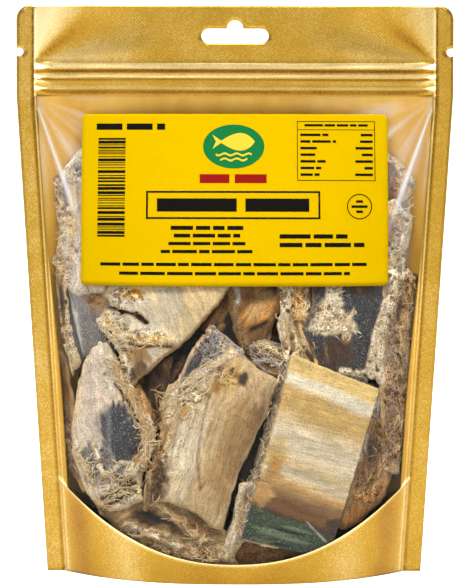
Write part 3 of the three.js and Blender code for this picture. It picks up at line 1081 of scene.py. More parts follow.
        outline=[(-69, 38), (-55, 36), (-40, 39), (-32, 37.5), (-14, 30), (-2, 22), (2, 8), (-21, 7),
                 (-37, 9), (-50, 18), (-62, 28)],
        patches=[("bark", -60, 32, 5, 8, 120), ("umber", -37, 28.5, 5.0, 19, 106),
                 ("dark", -36, 30, 2.8, 14, 106), ("bark", -14, 26, 5, 9, 120),
                 ("ivory", -34, 19.5, 4, 18, 108), ("ivory", -24, 16, 3.5, 11, 100),
                 ("tan", -12, 15, 6, 4, 0), ("ochre", -24, 10.5, 1.5, 12, 95)],
        sponge=[(-32, 17, 20, 5, 8), (-12, 14, 10, 7, 0), (-26, 28.5, 3.5, 14, 131), (-40, 21, 4, 13, 110)],
        ropes=[([(-36, 37.5), (-29, 31.5), (-21, 24.5), (-15, 19)], 1.5, "beige"),
               ([(-50, 25.5), (-39, 21.5), (-29, 17.5), (-19, 14)], 1.1, "cream"),
               ([(-46, 21), (-34, 16.5), (-24, 12.5)], 0.9, "sand"),
               ([(-20, 12), (-11, 11), (-5, 15), (-10, 19), (-16, 20)], 1.4, "beige")],
    ),
    dict(
        name="under_block", lean=70, thick=12, behind=5.0, base="brown", rim="bark", side="dark",
        follow=0.6, ragged=0.9, fibre=0.4, crown=1.5,
        outline=[(-3, 22), (8, 21), (24, 16), (34, 13), (30, 8), (2, 8)],
        patches=[("brown", 12, 14, 8, 3, 0), ("dark", 26, 11, 6, 3, 0)],
        sponge=[(10, 14, 12, 6, 0)],
    ),
    dict(
        name="side_strip", lean=18, thick=8, behind=2.6, base="sand", rim="cream", side="bark",
        follow=0.7, fold=0.5, fibre=0.5, round=1.4, crown=0.8,
        outline=[(3, 46), (9, 47), (8, 34), (5, 22), (-1, 10), (-7, 10), (-2, 26)],
        patches=[("fawn", 3, 30, 1.2, 14, 18), ("bark", 6, 40, 2, 6, 0), ("pale", -1, 20, 1.2, 10, 20)],
        ropes=[([(4, 44), (0, 28), (-5, 12)], 0.7, "cream"), ([(7, 38), (4, 26), (0, 13)], 0.6, "sand")],
    ),
    dict(
        name="left_filler", lean=-10, thick=14, behind=8.0, base="umber", rim="umber", side="dark",
        outline=[(-54, 100), (-28, 106), (-24, 74), (-34, 42), (-46, 46)],
        patches=[("dark", -42, 92, 3, 8, -10), ("dark", -36, 62, 5, 12, 0)],
        ropes=[([(-46, 90), (-41, 82), (-38, 74)], 1.5, "tan")],
        **FILLER,
    ),
    dict(
        name="upper_filler", lean=30, thick=14, behind=9.0, base="dark", rim="umber", side="dark",
        outline=[(-38, 108), (4, 140), (16, 120), (12, 92), (-20, 88), (-36, 80)],
        patches=[("umber", -6, 128, 3, 14, 45)],
        ropes=[([(-1, 136), (-7, 126), (-13, 118)], 1.3, "brown"), ([(-24, 104), (-29, 92)], 1.0, "umber")],
        **FILLER,
    ),
    dict(
        name="centre_filler", lean=-15, thick=14, behind=10.0, base="dark", rim="umber", side="dark",
        outline=[(0, 114), (44, 114), (42, 80), (20, 50), (2, 30), (-8, 40), (8, 90)],
        patches=[("umber", 18, 84, 6, 14, 20)],
        **FILLER,
    ),
    dict(
        name="rear_low", lean=60, thick=26, behind=24.0, base="umber", rim="brown", side="dark",
        outline=[(-60, 10), (60, 10), (74, 50), (70, 96), (-70, 96), (-74, 50)],
        patches=[("dark", 0, 50, 30, 20, 0), ("brown", 40, 40, 12, 20, 30),
                 ("brown", -40, 70, 12, 20, -30)],
        **REAR,
    ),
    dict(
        name="rear_high", lean=-40, thick=20, behind=16.0, base="brown", rim="bark", side="dark",
        outline=[(-74, 92), (74, 92), (78, 140), (66, 192), (20, 186), (-24, 194), (-66, 190), (-80, 140)],
        patches=[("dark", -10, 120, 30, 20, 30), ("umber", 40, 140, 14, 24, 20),
                 ("bark", -40, 160, 12, 20, 0)],
        **REAR,
    ),
]


# Shapes and looks of the chunks
TORN = 0.5  # a chunk more ragged than this has torn edges and wandering fibres
CHUNK_ROOM = 4.0  # room round an outline for ropes and ragged edges
CROWN_REACH = 7.0  # how far in from the outline a chunk's front curves back
NEAR_OUT = 4.0  # how far outside and inside the plain form the fibres are worked out
NEAR_IN = 5.0
FIELD_LIMIT = 3.0


def torn(chunk):
    return chunk["ragged"] > TORN


def grain_spots(chunk, x, q, z):
    """Places in a chunk, measured across its grain, behind its front and along its grain."""
    across, along = leaning(x, z, *np.mean(chunk["outline"], axis=0), chunk["lean"])
    if torn(chunk):
        places = np.stack([x, q, z], axis=1)
        across = across + 2.4 * noise(places, 11.0, 61) + 0.8 * noise(places, 4.5, 62)
    return np.stack([across, q, along], axis=1)


def front_plane(chunk):
    """A function for the y of a chunk's front: a plane laid against the film, bent towards it by follow."""
    outline = chunk["outline"]
    low = np.min(outline, axis=0)
    high = np.max(outline, axis=0)
    x, z = np.meshgrid(np.linspace(low[0], high[0], 40), np.linspace(low[1], high[1], 40))
    inside = plane_distance(x, z, outline) < 0
    x, z = x[inside], z[inside]
    film = -face_depth(x, z, FRONT_SWELLS)
    plane = np.linalg.lstsq(np.stack([np.ones_like(x), x, z], axis=1), film, rcond=None)[0]

    def front(at_x, at_z):
        flat = plane[0] + plane[1] * at_x + plane[2] * at_z
        near = -face_depth(at_x, at_z, FRONT_SWELLS)
        return mix(flat, near, chunk["follow"]) + FILM_GAP + chunk["behind"]

    return front


def sponge_share(chunk, x, z, seed):
    """How spongy a chunk is at places of its front, from 0 to 1."""
    share = np.zeros_like(x)
    wobble = 0.4 * over_plane(fractal, x, z, 6.0, seed)
    for sponge in chunk["sponge"]:
        share = np.maximum(share, smoothstep((ellipse_share(x, z, *sponge) + wobble) / 0.4))
    return share


def flesh_noise(spots, seed):
    """Fibres, wrinkles and pits of dried flesh at some places."""
    fibres = ridges(spots, (1.5, 2.6, 24.0), seed + 1)
    bent = spots + 1.6 * noise(spots, 4.0, seed + 3)[:, None]
    wrinkles = 0.7 * ridges(bent, (5.0, 6.0, 12.0), seed + 5) + 0.3 * ridges(bent, (2.4, 3.0, 6.0), seed + 6)
    pits = smoothstep((noise(spots, 1.7, seed + 9) + 0.05) / 0.5)
    return fibres, wrinkles, pits


def chunk_field(chunk, x, q, z, seed):
    """Signed distance to the chunk's surface. q is the depth behind its front plane."""
    flat = x[:, 0, :], z[:, 0, :]
    plan = plane_distance(*flat, chunk["outline"])
    crown = (chunk["crown"] * (1 - np.clip(-plan / CROWN_REACH, 0, 1)) ** 2)[:, None, :]
    half_thick = chunk["thick"] / 2
    soft = chunk["round"]
    side = np.broadcast_to(plan[:, None, :], x.shape).copy()
    deep = np.abs(q - crown - half_thick) - half_thick
    outer = np.maximum(side, deep)
    near = (outer < NEAR_OUT) & (outer > -NEAR_IN)
    spots = grain_spots(chunk, x[near], q[near], z[near])
    fibres, wrinkles, pits = flesh_noise(spots, seed)
    rag = fractal(spots, (4.5, 4.5, 7.0), seed + 12)
    side[near] += chunk["ragged"] * (rag + 0.6 * fibres * torn(chunk))
    out = side + soft
    back = deep + soft
    field = np.hypot(np.maximum(out, 0.0), np.maximum(back, 0.0))
    field = field + np.minimum(np.maximum(out, back), 0.0) - soft
    lumps = over_plane(fractal, *flat, 3.4, seed + 7)
    for path, radius, _ in chunk["ropes"]:
        away = np.hypot((path_distance(*flat, path) + 0.9 * lumps)[:, None, :], q - crown)
        field = np.minimum(field, away - (radius * (1 + 0.5 * lumps))[:, None, :])
    for path, half, depth in chunk["cuts"]:
        away = path_distance(*flat, path) - half * (1 + 1.1 * over_plane(fractal, *flat, 2.2, seed))
        field = np.maximum(field, np.minimum(-away[:, None, :], depth + crown - q))
    hollow = np.broadcast_to(sponge_share(chunk, *flat, seed)[:, None, :], x.shape)[near]
    field[near] += 1.6 * hollow * pits - chunk["fold"] * wrinkles - chunk["fibre"] * fibres
    return field


def tint(colours, name, share):
    return mix(colours, INK[name], share[:, None])


def band_looks(chunk, x, z, uneven):
    """Colours of a banded chunk by depth below its top edge, and how like skin each is."""
    top, corner = np.array(chunk["outline"][:2], float)
    run = (corner - top) / np.hypot(*(corner - top))
    depth = (x - top[0]) * run[1] - (z - top[1]) * run[0]
    share = depth / depth.max() + uneven
    places, names = zip(*chunk["bands"])
    channels = np.array([INK[name] for name in names]).T
    colour = np.stack([np.interp(share, places, channel) for channel in channels], axis=1)
    return colour, np.interp(share, places, [float(name in SKIN_COLOURS) for name in names])


def chunk_looks(chunk, x, q, z, seed):
    """Colour of each point of a chunk's surface, and how spongy, how like skin and how fibrous it is."""
    spots = grain_spots(chunk, x, q, z)
    fibres, wrinkles, pits = flesh_noise(spots, seed)
    cloud = fractal(spots, (6.0, 6.0, 13.0), seed + 20)
    fine = noise(spots, (1.4, 1.4, 3.0), seed + 24)
    uneven = 0.28 * cloud + 0.22 * fine + 0.06 * fibres
    colour = np.tile(INK[chunk["base"]], (len(x), 1))
    skin = np.full(len(x), float(chunk["base"] in SKIN_COLOURS))
    if chunk["bands"]:
        colour, skin = band_looks(chunk, x, z, 0.014 * cloud + 0.006 * fine)
    for name, *spot in chunk["patches"]:
        edge = 0.3 if name in SKIN_COLOURS else 0.6
        share = smoothstep((ellipse_share(x, z, *spot) + 0.1 + uneven) / edge)
        colour = tint(colour, name, share)
        skin = mix(skin, float(name in SKIN_COLOURS), share)
    stain = smoothstep((cloud - 0.25) / 0.5) * (1 - skin) * torn(chunk) * (1 - 0.5 * chunk["calm"])
    colour = tint(colour, "tan", 0.45 * stain)
    plan = plane_distance(x, z, chunk["outline"])
    rim = smoothstep((plan + 2.0 + 1.5 * uneven) / 1.6) * torn(chunk)
    colour = tint(colour, chunk["rim"], 0.8 * rim)
    # Painted shade: the sides and back, sunk behind the front, take the darker side colour
    sunk = smoothstep((q - chunk["crown"] - 1.5 - chunk["round"]) / 1.5)
    colour = tint(colour, chunk["side"], 0.9 * sunk)
    web = sponge_share(chunk, x, z, seed)
    for path, radius, name in chunk["ropes"]:
        share = smoothstep((radius + 1.1 + 0.8 * uneven - path_distance(x, z, path)) / 1.2) * (1 - sunk)
        colour = tint(colour, name, share)
        skin = skin * (1 - share)
        web = np.maximum(web, 0.5 * share)
    # Painted shade in each cut: bark round it and umber in its core
    for path, half, _ in chunk["cuts"]:
        inside = half - path_distance(x, z, path)
        colour = tint(colour, "bark", 0.7 * smoothstep((inside + 1.4 + uneven) / 1.4))
        colour = tint(colour, "umber", 0.9 * smoothstep((inside + 0.4 + 0.3 * uneven) / 0.5))
    web = np.maximum(web, 0.9 * sunk * (chunk["side"] == "ash"))
    # Painted shade in the pits of sponge, tinted brown
    colour = tint(colour, "brown", 0.6 * web * pits)
    rough = float(torn(chunk)) - chunk["calm"]
    # Painted shade and light: darker in the valleys of the wrinkles and fibres, lighter on their crests, with
    # random tone from the cloud
    shade = 1 + (0.15 + 0.1 * rough) * fibres + 0.16 * cloud
    shade = shade + (0.27 + 0.15 * rough) * chunk["fold"] * wrinkles
    flesh = 0.9 + 0.45 * rough - 0.3 * skin
    return np.clip(colour * shade[:, None], 0.0, 1.0), np.stack([web, skin, flesh], axis=1)


def behind_limit(value, limit, soft=0.5):
    """Keeps values above a limit, easing off as they come near it."""
    return limit + soft * np.logaddexp(0.0, (value - limit) / soft)


def make_chunk(chunk, seed, material):
    low_x, low_z = np.min(chunk["outline"], axis=0) - CHUNK_ROOM
    high_x, high_z = np.max(chunk["outline"], axis=0) + CHUNK_ROOM
    deepest = chunk["thick"] + chunk["crown"] + CHUNK_ROOM
    voxel = np.interp(chunk["behind"], BEHIND_STEPS, VOXEL_STEPS)
    spans = ((low_x, high_x), (-CHUNK_ROOM, deepest), (low_z, high_z))
    axes = [np.arange(start, end, voxel) for start, end in spans]
    field = chunk_field(chunk, *np.meshgrid(*axes, indexing="ij"), seed)
    grid = openvdb.FloatGrid(FIELD_LIMIT)
    grid.copyFromArray(np.clip(field, -FIELD_LIMIT, FIELD_LIMIT).astype(np.float32))
    found, quads = largest_shell(*grid.convertToQuads(0.0))
    x, q, z = (found * voxel + np.array([axis[0] for axis in axes])).T
    y = front_plane(chunk)(x, z) + q
    colour, kind = chunk_looks(chunk, x, q, z, seed)
    spots = grain_spots(chunk, x, q, z)
    x = x + chunk["slant"] * np.maximum(q, 0.0)
    y = behind_limit(y, FILM_GAP - face_depth(x, z, FRONT_SWELLS))
    y = -behind_limit(-y, FILM_GAP - face_depth(x, z, BACK_SWELLS))
    np.minimum.at(front_map, front_cells(x, z), y)
    piece = make_object("fish_" + chunk["name"], np.stack([x, y, z], axis=1), quads, [material])
    paint(piece, colour, spots, kind)


def largest_shell(points, quads):
    """Keeps the largest connected shell and drops loose scraps."""
    group = np.arange(len(points))
    pairs = np.concatenate([quads[:, [0, 1]], quads[:, [1, 2]], quads[:, [2, 3]]])
    while True:
        lower = np.minimum(group[pairs[:, 0]], group[pairs[:, 1]])
        before = group.copy()
        np.minimum.at(group, pairs[:, 0], lower)
        np.minimum.at(group, pairs[:, 1], lower)
        group = group[group]
        if np.array_equal(group, before):
            break
    keep = group == np.bincount(group).argmax()
    renumber = np.cumsum(keep) - 1
    return points[keep], renumber[quads[keep[quads[:, 0]]]]


def paint(piece, colours, spots, kinds):
    """Stores each point's colour, its place in the grain and its kind of surface for the material."""
    store(piece, "tint", colours)
    store(piece, "grain", spots)
    store(piece, "kind", kinds)


# How near the film the fish reaches in each cell of the front, noted as chunks are made
FRONT_CELL = 0.8
MAP_WIDTH = 220
MAP_HEIGHT = 240
front_map = np.full((int(MAP_WIDTH / FRONT_CELL), int(MAP_HEIGHT / FRONT_CELL)), 0.0)


def front_cells(x, z):
    columns, rows = front_map.shape
    column = ((x + MAP_WIDTH / 2) / FRONT_CELL).astype(int).clip(0, columns - 1)
    return column, (z / FRONT_CELL).astype(int).clip(0, rows - 1)


# Loose fibres: path, count, spread about the path, length, how far they stray from its direction, colours
STRANDS = [
    ([(-58, 103), (-46, 83), (-39, 66), (-43, 54)], 150, 3.2, 9, 0.35, "ivory beige tan"),
    ([(-74, 60), (-66, 50), (-56, 46), (-48, 54)], 60, 5.0, 6, 1.2, "ivory sand"),
    ([(-62, 36), (-46, 45)], 30, 4.0, 9, 0.2, "ivory sand"),
    ([(77, 139), (68, 114), (65, 97)], 70, 3.0, 4, 0.9, "pale cream pink"),
    ([(27, 150), (23, 122), (25, 110)], 50, 3.5, 8, 0.4, "cream sand tan"),
    ([(36, 120), (46, 119), (58, 118)], 40, 5.0, 4, 1.4, "cream pale"),
    ([(48, 136), (48, 122)], 30, 3.0, 4, 1.4, "cream pale"),
    ([(-34, 92), (-36, 66), (-40, 46)], 80, 3.0, 6, 0.7, "beige tan bark"),
    ([(-32, 83), (-18, 94), (-4, 103)], 70, 6.0, 9, 0.6, "ivory pink beige"),
    ([(-22, 94), (-8, 103), (3, 108)], 40, 2.5, 5, 0.8, "cream sand"),
    ([(-18, 92), (-24, 70)], 40, 6.0, 8, 0.5, "ivory beige"),
    ([(-60, 118), (-44, 113), (-30, 112)], 50, 4.0, 5, 1.2, "cream gold"),
    ([(-64, 120), (-53, 107), (-52, 92)], 40, 1.6, 4, 0.8, "cream sand"),
    ([(-85, 186), (-82, 165), (-84, 142)], 40, 1.6, 6, 0.6, "sand cream"),
    ([(84, 186), (83, 168), (78, 150)], 40, 1.6, 6, 0.6, "sand cream"),
    ([(84, 140), (81, 116), (79, 92), (79, 62)], 60, 2.4, 6, 0.6, "sand bark tan"),
    ([(-48, 23), (-28, 16), (-6, 11)], 110, 4.0, 7, 0.6, "beige tan ivory"),
    ([(-36, 38), (-26, 29), (-15, 19)], 60, 2.2, 6, 0.5, "ivory beige tan"),
    ([(72, 80), (70, 58), (60, 38)], 50, 5.0, 9, 0.5, "tan bark"),
    ([(23, 104), (13, 62), (2, 24)], 120, 1.6, 4, 0.2, "pale stone sand"),
    ([(8, 109), (14, 107), (19, 103)], 50, 4.0, 5, 1.2, "stone sand"),
]
STRAND_STEPS = 10
STRAND_SIDES = 4
STRAND_RADIUS = 0.3
STRAND_BEND = 0.24
STRAND_DROP = 3.0  # how far a fibre may sink behind its nearest point


def strand_points(path, spread, length, stray, random):
    """A wavering line near a path, lying on the fish below it."""
    path = np.array(path, float)
    at = random.uniform(0, len(path) - 1)
    leg = min(int(at), len(path) - 2)
    run = path[leg + 1] - path[leg]
    heading = math.atan2(run[1], run[0]) + random.normal(0, stray)
    heading = heading + np.cumsum(random.normal(0, STRAND_BEND, STRAND_STEPS))
    step = length * random.uniform(0.5, 1.2) / STRAND_STEPS
    line = np.cumsum(step * np.stack([np.cos(heading), np.sin(heading)], axis=1), axis=0)
    line += path[leg] + (at - leg) * run + random.normal(0, spread * 0.5, 2) - line.mean(axis=0)
    x, z = line.T
    y = front_map[front_cells(x, z)]
    y = np.minimum(y, y.min() + STRAND_DROP)
    even = np.convolve(np.pad(y, 2, "edge"), np.full(5, 0.2), "valid")
    y = np.minimum(np.minimum(y, even) - 0.1, face_depth(x, z, BACK_SWELLS) - FILM_GAP)
    y = np.maximum(y, 0.7 * FILM_GAP - face_depth(x, z, FRONT_SWELLS))
    return np.stack([x, y, z], axis=1)


def tube(points, radius):
    """A tapering tube along a line, closed at its ends."""
    run = np.gradient(points, axis=0)
    run /= np.linalg.norm(run, axis=1)[:, None]
    out = np.cross(run, [0.0, 1.0, 0.0])
    out /= np.linalg.norm(out, axis=1)[:, None] + TINY
    up = np.cross(out, run)
    angles = np.linspace(0, 2 * np.pi, STRAND_SIDES, endpoint=False)[None, :, None]
    taper = radius * (0.35 + 0.65 * np.sin(np.linspace(0.15, np.pi - 0.15, len(points))))
    ring = out[:, None, :] * np.cos(angles) + up[:, None, :] * np.sin(angles)
    skin = points[:, None, :] + ring * taper[:, None, None]
    here = np.arange(len(points) * STRAND_SIDES).reshape(-1, STRAND_SIDES)
    beside = np.roll(here, -1, axis=1)
    faces = np.stack([here[:-1], here[1:], beside[1:], beside[:-1]], -1).reshape(-1, 4).tolist()
    return skin.reshape(-1, 3), faces + [here[0].tolist(), here[-1, ::-1].tolist()]


def make_strands(material):
    random = np.random.default_rng(77)
    parts, colours = [], []
    for path, count, spread, length, stray, names in STRANDS:
        for _ in range(count):
            line = strand_points(path, spread, length, stray, random)
            parts.append(tube(line, STRAND_RADIUS * random.uniform(0.6, 1.3)))
            ink = INK[random.choice(names.split())] * random.uniform(0.75, 1.05)
            colours.append(np.tile(ink, (len(parts[-1][0]), 1)))
    points, faces = join(parts)
    piece = make_object("fish_fibres", points, faces, [material])
    paint(piece, np.concatenate(colours), points, np.zeros_like(points))


# Label and its print
def label_y(x, z, lift):
    return -(face_depth(x, z, FRONT_SWELLS) + LABEL_LIFT + lift)


def label_outline():
    side = LABEL_HALF - LABEL_RADIUS
    low, high = LABEL_LOW + LABEL_RADIUS, LABEL_HIGH - LABEL_RADIUS
    corners = [(side, low, -90), (side, high, 0), (-side, high, 90), (-side, low, 180)]
    return [point for x, z, start in corners for point in arc(x, z, LABEL_RADIUS, start, start + 90)]


def on_label(name, flat, faces, material, lift):
    x, z = np.asarray(flat, float).T
    points = np.stack([x, label_y(x, z, lift), z], axis=1)
    return make_object(name, points, faces, [material])


def make_label(material):
    flat, triangles = filled_outline(label_outline(), [], LABEL_STEP, FILL_BORDER)
    piece = on_label("label_paper", flat, triangles, material, 0.0)
    thicken(piece, LABEL_THICKNESS)
    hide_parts("label")


class Print:
    """Flat shapes of one ink, gathered into one piece that lies on the label."""

    def __init__(self):
        self.parts = []

    def bar(self, low_x, low_z, high_x, high_z):
        columns = max(2, int((high_x - low_x) / 3.0) + 2)
        rows = max(2, int((high_z - low_z) / 4.0) + 2)
        x, z = np.meshgrid(np.linspace(low_x, high_x, columns), np.linspace(low_z, high_z, rows))
        self.parts.append((np.stack([x.ravel(), z.ravel()], axis=1), grid_faces(rows, columns)))

    def frame(self, low_x, low_z, high_x, high_z, line):
        self.bar(low_x, low_z, high_x, low_z + line)
        self.bar(low_x, high_z - line, high_x, high_z)
        self.bar(low_x, low_z + line, low_x + line, high_z - line)
        self.bar(high_x - line, low_z + line, high_x, high_z - line)

    def row(self, random, low_x, high_x, z, height, longest):
        """A row of bars of uneven length."""
        x = low_x
        while x < high_x - 1.0:
            end = min(x + random.uniform(0.35, 1.0) * longest, high_x)
            self.bar(x, z - height / 2, end, z + height / 2)
            x = end + height * 0.7

    def shape(self, outline, holes=(), step=1.5):
        self.parts.append(filled_outline(outline, list(holes), step, step * 0.4))

    def make(self, name, material, lift=INK_LIFT):
        on_label(name, *join(self.parts), material, lift)


def oval(centre_x, centre_z, half_w, half_h, count=48):
    angles = np.linspace(0, 2 * np.pi, count, endpoint=False)
    return [(centre_x + half_w * math.cos(a), centre_z + half_h * math.sin(a)) for a in angles]


def fish_outline(centre_x, centre_z, length):
    """A plain fish shape: a pointed oval body with a forked tail."""
    share = np.linspace(0.0, 1.0, 15)
    back = [(0.5 - 0.8 * s, 0.2 * math.sin(math.pi * s**0.8) + 0.025 * s) for s in share]
    tail = [(-0.5, 0.17), (-0.42, 0.0), (-0.5, -0.17)]
    belly = [(x, -z) for x, z in reversed(back[1:])]
    return [(centre_x + length * x, centre_z + length * z) for x, z in back + tail + belly]


# Rows of bars on the label: first and last x, z, height, longest bar
TOP_ROW = (-65.5, -33.0, 212.4, 3.0, 14.0)
BAR_ROWS = [
    (-29.9, 4.1, 164.6, 1.9, 12.0),
    (-28.4, 2.6, 161.0, 1.7, 12.0),
    (-30.9, 5.1, 157.3, 1.5, 12.0),
    (-34.4, 8.6, 153.6, 1.5, 12.0),
    (21.0, 53.0, 160.7, 2.0, 15.0),
    (21.0, 61.0, 156.7, 2.0, 15.0),
    (-63.0, 62.0, 147.6, 1.5, 12.0),
    (-54.0, 54.0, 143.4, 1.5, 12.0),
]
LIST_HEAD = (33.0, 63.0, 213.2, 1.1, 9.0)

# Boxes and bars on the label: lowest and highest corner
MAIN_BOX = (-41.6, 168.7, 40.2, 181.9)
BOX_BARS = [(-36.5, 172.2, 1.0, 178.4), (5.0, 172.2, 35.0, 178.4)]
BOX_LINE = 0.9
LIST_BOX = (29.4, 186.8, 66.5, 215.2)
LIST_RULE = (29.4, 210.9, 66.5, 211.2)
LIST_LINE = 0.35
LIST_TOP = 208.6
LIST_STEP = 3.15
LIST_ROWS = 7
LIST_LEFT = 31.0
LIST_RIGHT = 65.3
BADGE_BARS = [(-16.5, 185.6, -2.5, 189.8), (0.0, 185.6, 15.0, 189.8)]

# Stack of bars of uneven thickness at the left
STACK_X = (-64.6, -51.6)
STACK_TOP = 207.0
STACK_LOW = 160.5
STACK_BARS = [0.45, 0.45, 0.9, 1.4]
STACK_GAPS = [0.4, 0.6, 0.9]

# Ring at the right, with three bars in it: offset, half length
RING = (58.8, 174.7)
RING_OUTER = 6.0
RING_INNER = 5.5
RING_BARS = [(2.4, 1.6), (0.0, 3.8), (-2.4, 1.6)]
THIN_BAR = 0.6  # half height of the bars in the ring and the list

# Emblem: a fish over two waves on an oval. A wave is its height from the emblem's middle and its half length.
EMBLEM = (-0.5, 203.0)
EMBLEM_HALF = (14.5, 10.5)
EMBLEM_FISH = 20.0
FISH_RISE = 2.2
MOTIF_STEP = 1.2
EMBLEM_WAVES = [(-3.8, 8.5), (-6.2, 6.375)]


def print_black(ink, random):
    """Rows, boxes, a ring and a stack of bars."""
    ink.row(random, *TOP_ROW)
    z = STACK_TOP
    while z > STACK_LOW:
        thick = random.choice(STACK_BARS)
        ink.bar(STACK_X[0], z - thick, STACK_X[1], z)
        z -= thick + random.choice(STACK_GAPS)
    ink.frame(*MAIN_BOX, BOX_LINE)
    for corners in BOX_BARS:
        ink.bar(*corners)
    for row in BAR_ROWS:
        ink.row(random, *row)
    ink.frame(*LIST_BOX, LIST_LINE)
    ink.bar(*LIST_RULE)
    ink.row(random, *LIST_HEAD)
    for row in range(LIST_ROWS):
        z = LIST_TOP - LIST_STEP * row
        ink.row(random, LIST_LEFT, random.uniform(38.0, 48.0), z, 1.2, 10.0)
        ink.bar(LIST_RIGHT - random.uniform(4.0, 9.0), z - THIN_BAR, LIST_RIGHT, z + THIN_BAR)
    ink.shape(oval(*RING, RING_OUTER, RING_OUTER), [oval(*RING, RING_INNER, RING_INNER)], 3.0)
    for offset, half in RING_BARS:
        z = RING[1] + offset
        ink.bar(RING[0] - half, z - THIN_BAR, RING[0] + half, z + THIN_BAR)


def print_motif(motif):
    """The emblem's fish and waves."""
    x, z = EMBLEM
    motif.shape(fish_outline(x, z + FISH_RISE, EMBLEM_FISH), (), MOTIF_STEP)
    for rise, half in EMBLEM_WAVES:
        crest = [(x + a, z + rise + 0.5 * math.sin(a * 1.1) + 0.45) for a in np.linspace(-half, half, 25)]
        trough = [(a, b - 0.9) for a, b in reversed(crest)]
        motif.shape(crest + trough, (), MOTIF_STEP)


def make_print(black, green, red, yellow):
    ink, badge, bars, motif = Print(), Print(), Print(), Print()
    print_black(ink, np.random.default_rng(5))
    ink.make("label_print_black", black)
    badge.shape(oval(*EMBLEM, *EMBLEM_HALF), (), 2.0)
    badge.make("label_print_green", green)
    for corners in BADGE_BARS:
        bars.bar(*corners)
    bars.make("label_print_red", red)
    print_motif(motif)
    motif.make("label_print_motif", yellow, 2 * INK_LIFT)


# Painted highlights and shade of the gold: strength, below zero for shade, place, half width. Places are
# degrees round the strip's ends in the header, and millimetres inwards from a side seal elsewhere.
HEADER_HIGHLIGHT_FANS = [(0.58, 12, 25), (0.26, 80, 12)]
HEADER_SHADES = [(0.34, 52, 8)]
RIGHT_FAN = 0.45  # how strong the fans are on the right, against the left
SEAL_LIGHT_AND_SHADE = [(0.4, 0.8, 0.45), (-0.45, -0.3, 0.35)]
BODY_HIGHLIGHTS = [(0.3, 2.4, 0.45)]
SKIRT_LIGHT_AND_SHADE = [(0.16, 3.0, 2.0), (-0.14, 11, 5.0)]
# Painted light by the slope of the strip's ridges, and painted highlights on its pinched folds
STRIP_SLOPE_LIGHT = 1.6
STRIP_LOOK = 0.03  # share of the strip above and below a place that its slope is read at
PINCH_HIGHLIGHT = 0.65


def painted_foil_light(x, z, front):
    """Painted highlights and shade of the gold, as paleness: fans in the header, lines beside the seals,
    bands and the rim of the skirt, and light by the slope of the strip's ridges and on its pinched folds.
    """
    left = x < 0
    inward = from_seal(x, z)
    inside = inward > 0
    body = (z < STRIP_LOW) * inside
    below = seal_curve(x, z) - z
    reach, angle = fan_place(inward, z)
    # Painted highlight fans in the header, with a painted shade line between them
    fan = hills(angle, HEADER_HIGHLIGHT_FANS) * np.where(left, 1.0, RIGHT_FAN)
    fan -= hills(angle, HEADER_SHADES) * smoothstep((46 - reach) / 36)
    fan *= smoothstep((66 - reach) / 50) * inside * (z > STRIP_HIGH)
    # Painted light and shade lines beside the seals, and the left seal painted a little paler
    lines = hills(inward, SEAL_LIGHT_AND_SHADE) + np.where(left, 0.05, 0.01) * (inward < -0.8)
    lines += body * hills(inward, BODY_HIGHLIGHTS)
    # Painted shade on the inner part of the gold beside the window
    lines -= front * body * (below < 0) * (0.1 + 0.3 * smoothstep((inward - 3.2) / 4.0))
    # Painted light and shade bands on the skirt, and a painted highlight along its curved seal
    bands = hills(inward, SKIRT_LIGHT_AND_SHADE) - 0.1 + np.where(left, 0.25, 0.19) * hill(inward, 31, 12)
    bands += 0.6 * hill(below, 0.0, 1.1) if front else 0.25 * hill(below, 0.0, 5.0)
    steps = (STRIP_LOOK, -STRIP_LOOK)
    upper, lower = (np.interp(strip_share(z) + step, *zip(*STRIP_PROFILE)) for step in steps)
    lines += STRIP_SLOPE_LIGHT * (lower - upper) * on_strip(z) * inside
    pinch, peak = strip_pinch(x, z)
    return fan + lines + bands * body * (below > (-2.0 if front else -12.0)) + PINCH_HIGHLIGHT * pinch * peak**2


# Pouch sheets
PLAIN_COAT, SEAL_COAT, HEADER_COAT = range(3)  # places in the list of coats


def make_foil(name, parts, materials, front):
    """A face of the pouch from sheets, each with the place of its coat."""
    points, faces = weld([part for _, part in parts])
    owners = np.concatenate([np.full(len(part[1]), coat) for coat, part in parts])
    piece = make_object(name, points, faces, materials, owners)
    places = np.array([vertex.co for vertex in piece.data.vertices]) / MM
    # The pale attribute holds the painted highlights and shade of the gold
    store(piece, "pale", painted_foil_light(places[:, 0], places[:, 2], front))
    thicken(piece, WALL)
    return piece


def seal_sheets(depth_of, heights, towards):
    grids = [seal_grid(side, heights) for side in SIDES]
    return [(SEAL_COAT, sheet(*grid, depth_of(*grid), towards)) for grid in grids]


def make_front(coats):
    """Header, strip, side seals and the gold skirt below the curved seal."""
    grids = (skirt_grid(), level_grid(column_shares(MARGIN_TOP), strip_heights()))
    parts = [(PLAIN_COAT, sheet(*grid, front_depth(*grid), -1)) for grid in grids]
    parts.append((HEADER_COAT, header_sheet(front_depth, -1)))
    parts.append((PLAIN_COAT, window_sheet(False)))
    piece = make_foil("foil_front", parts + seal_sheets(front_depth, seal_heights(), -1), coats, True)
    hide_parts("pouch")


def make_back(coats, lining):
    heights = seal_heights()[::2]
    body = level_grid(across_shares()[::2], heights)
    parts = [(PLAIN_COAT, sheet(*body, back_depth(*body), 1)), (HEADER_COAT, header_sheet(back_depth, 1))]
    parts += seal_sheets(back_depth, heights, 1)
    piece = make_foil("foil_back", parts, coats + [lining] * len(coats), False)
    piece.modifiers["wall"].material_offset = len(coats)


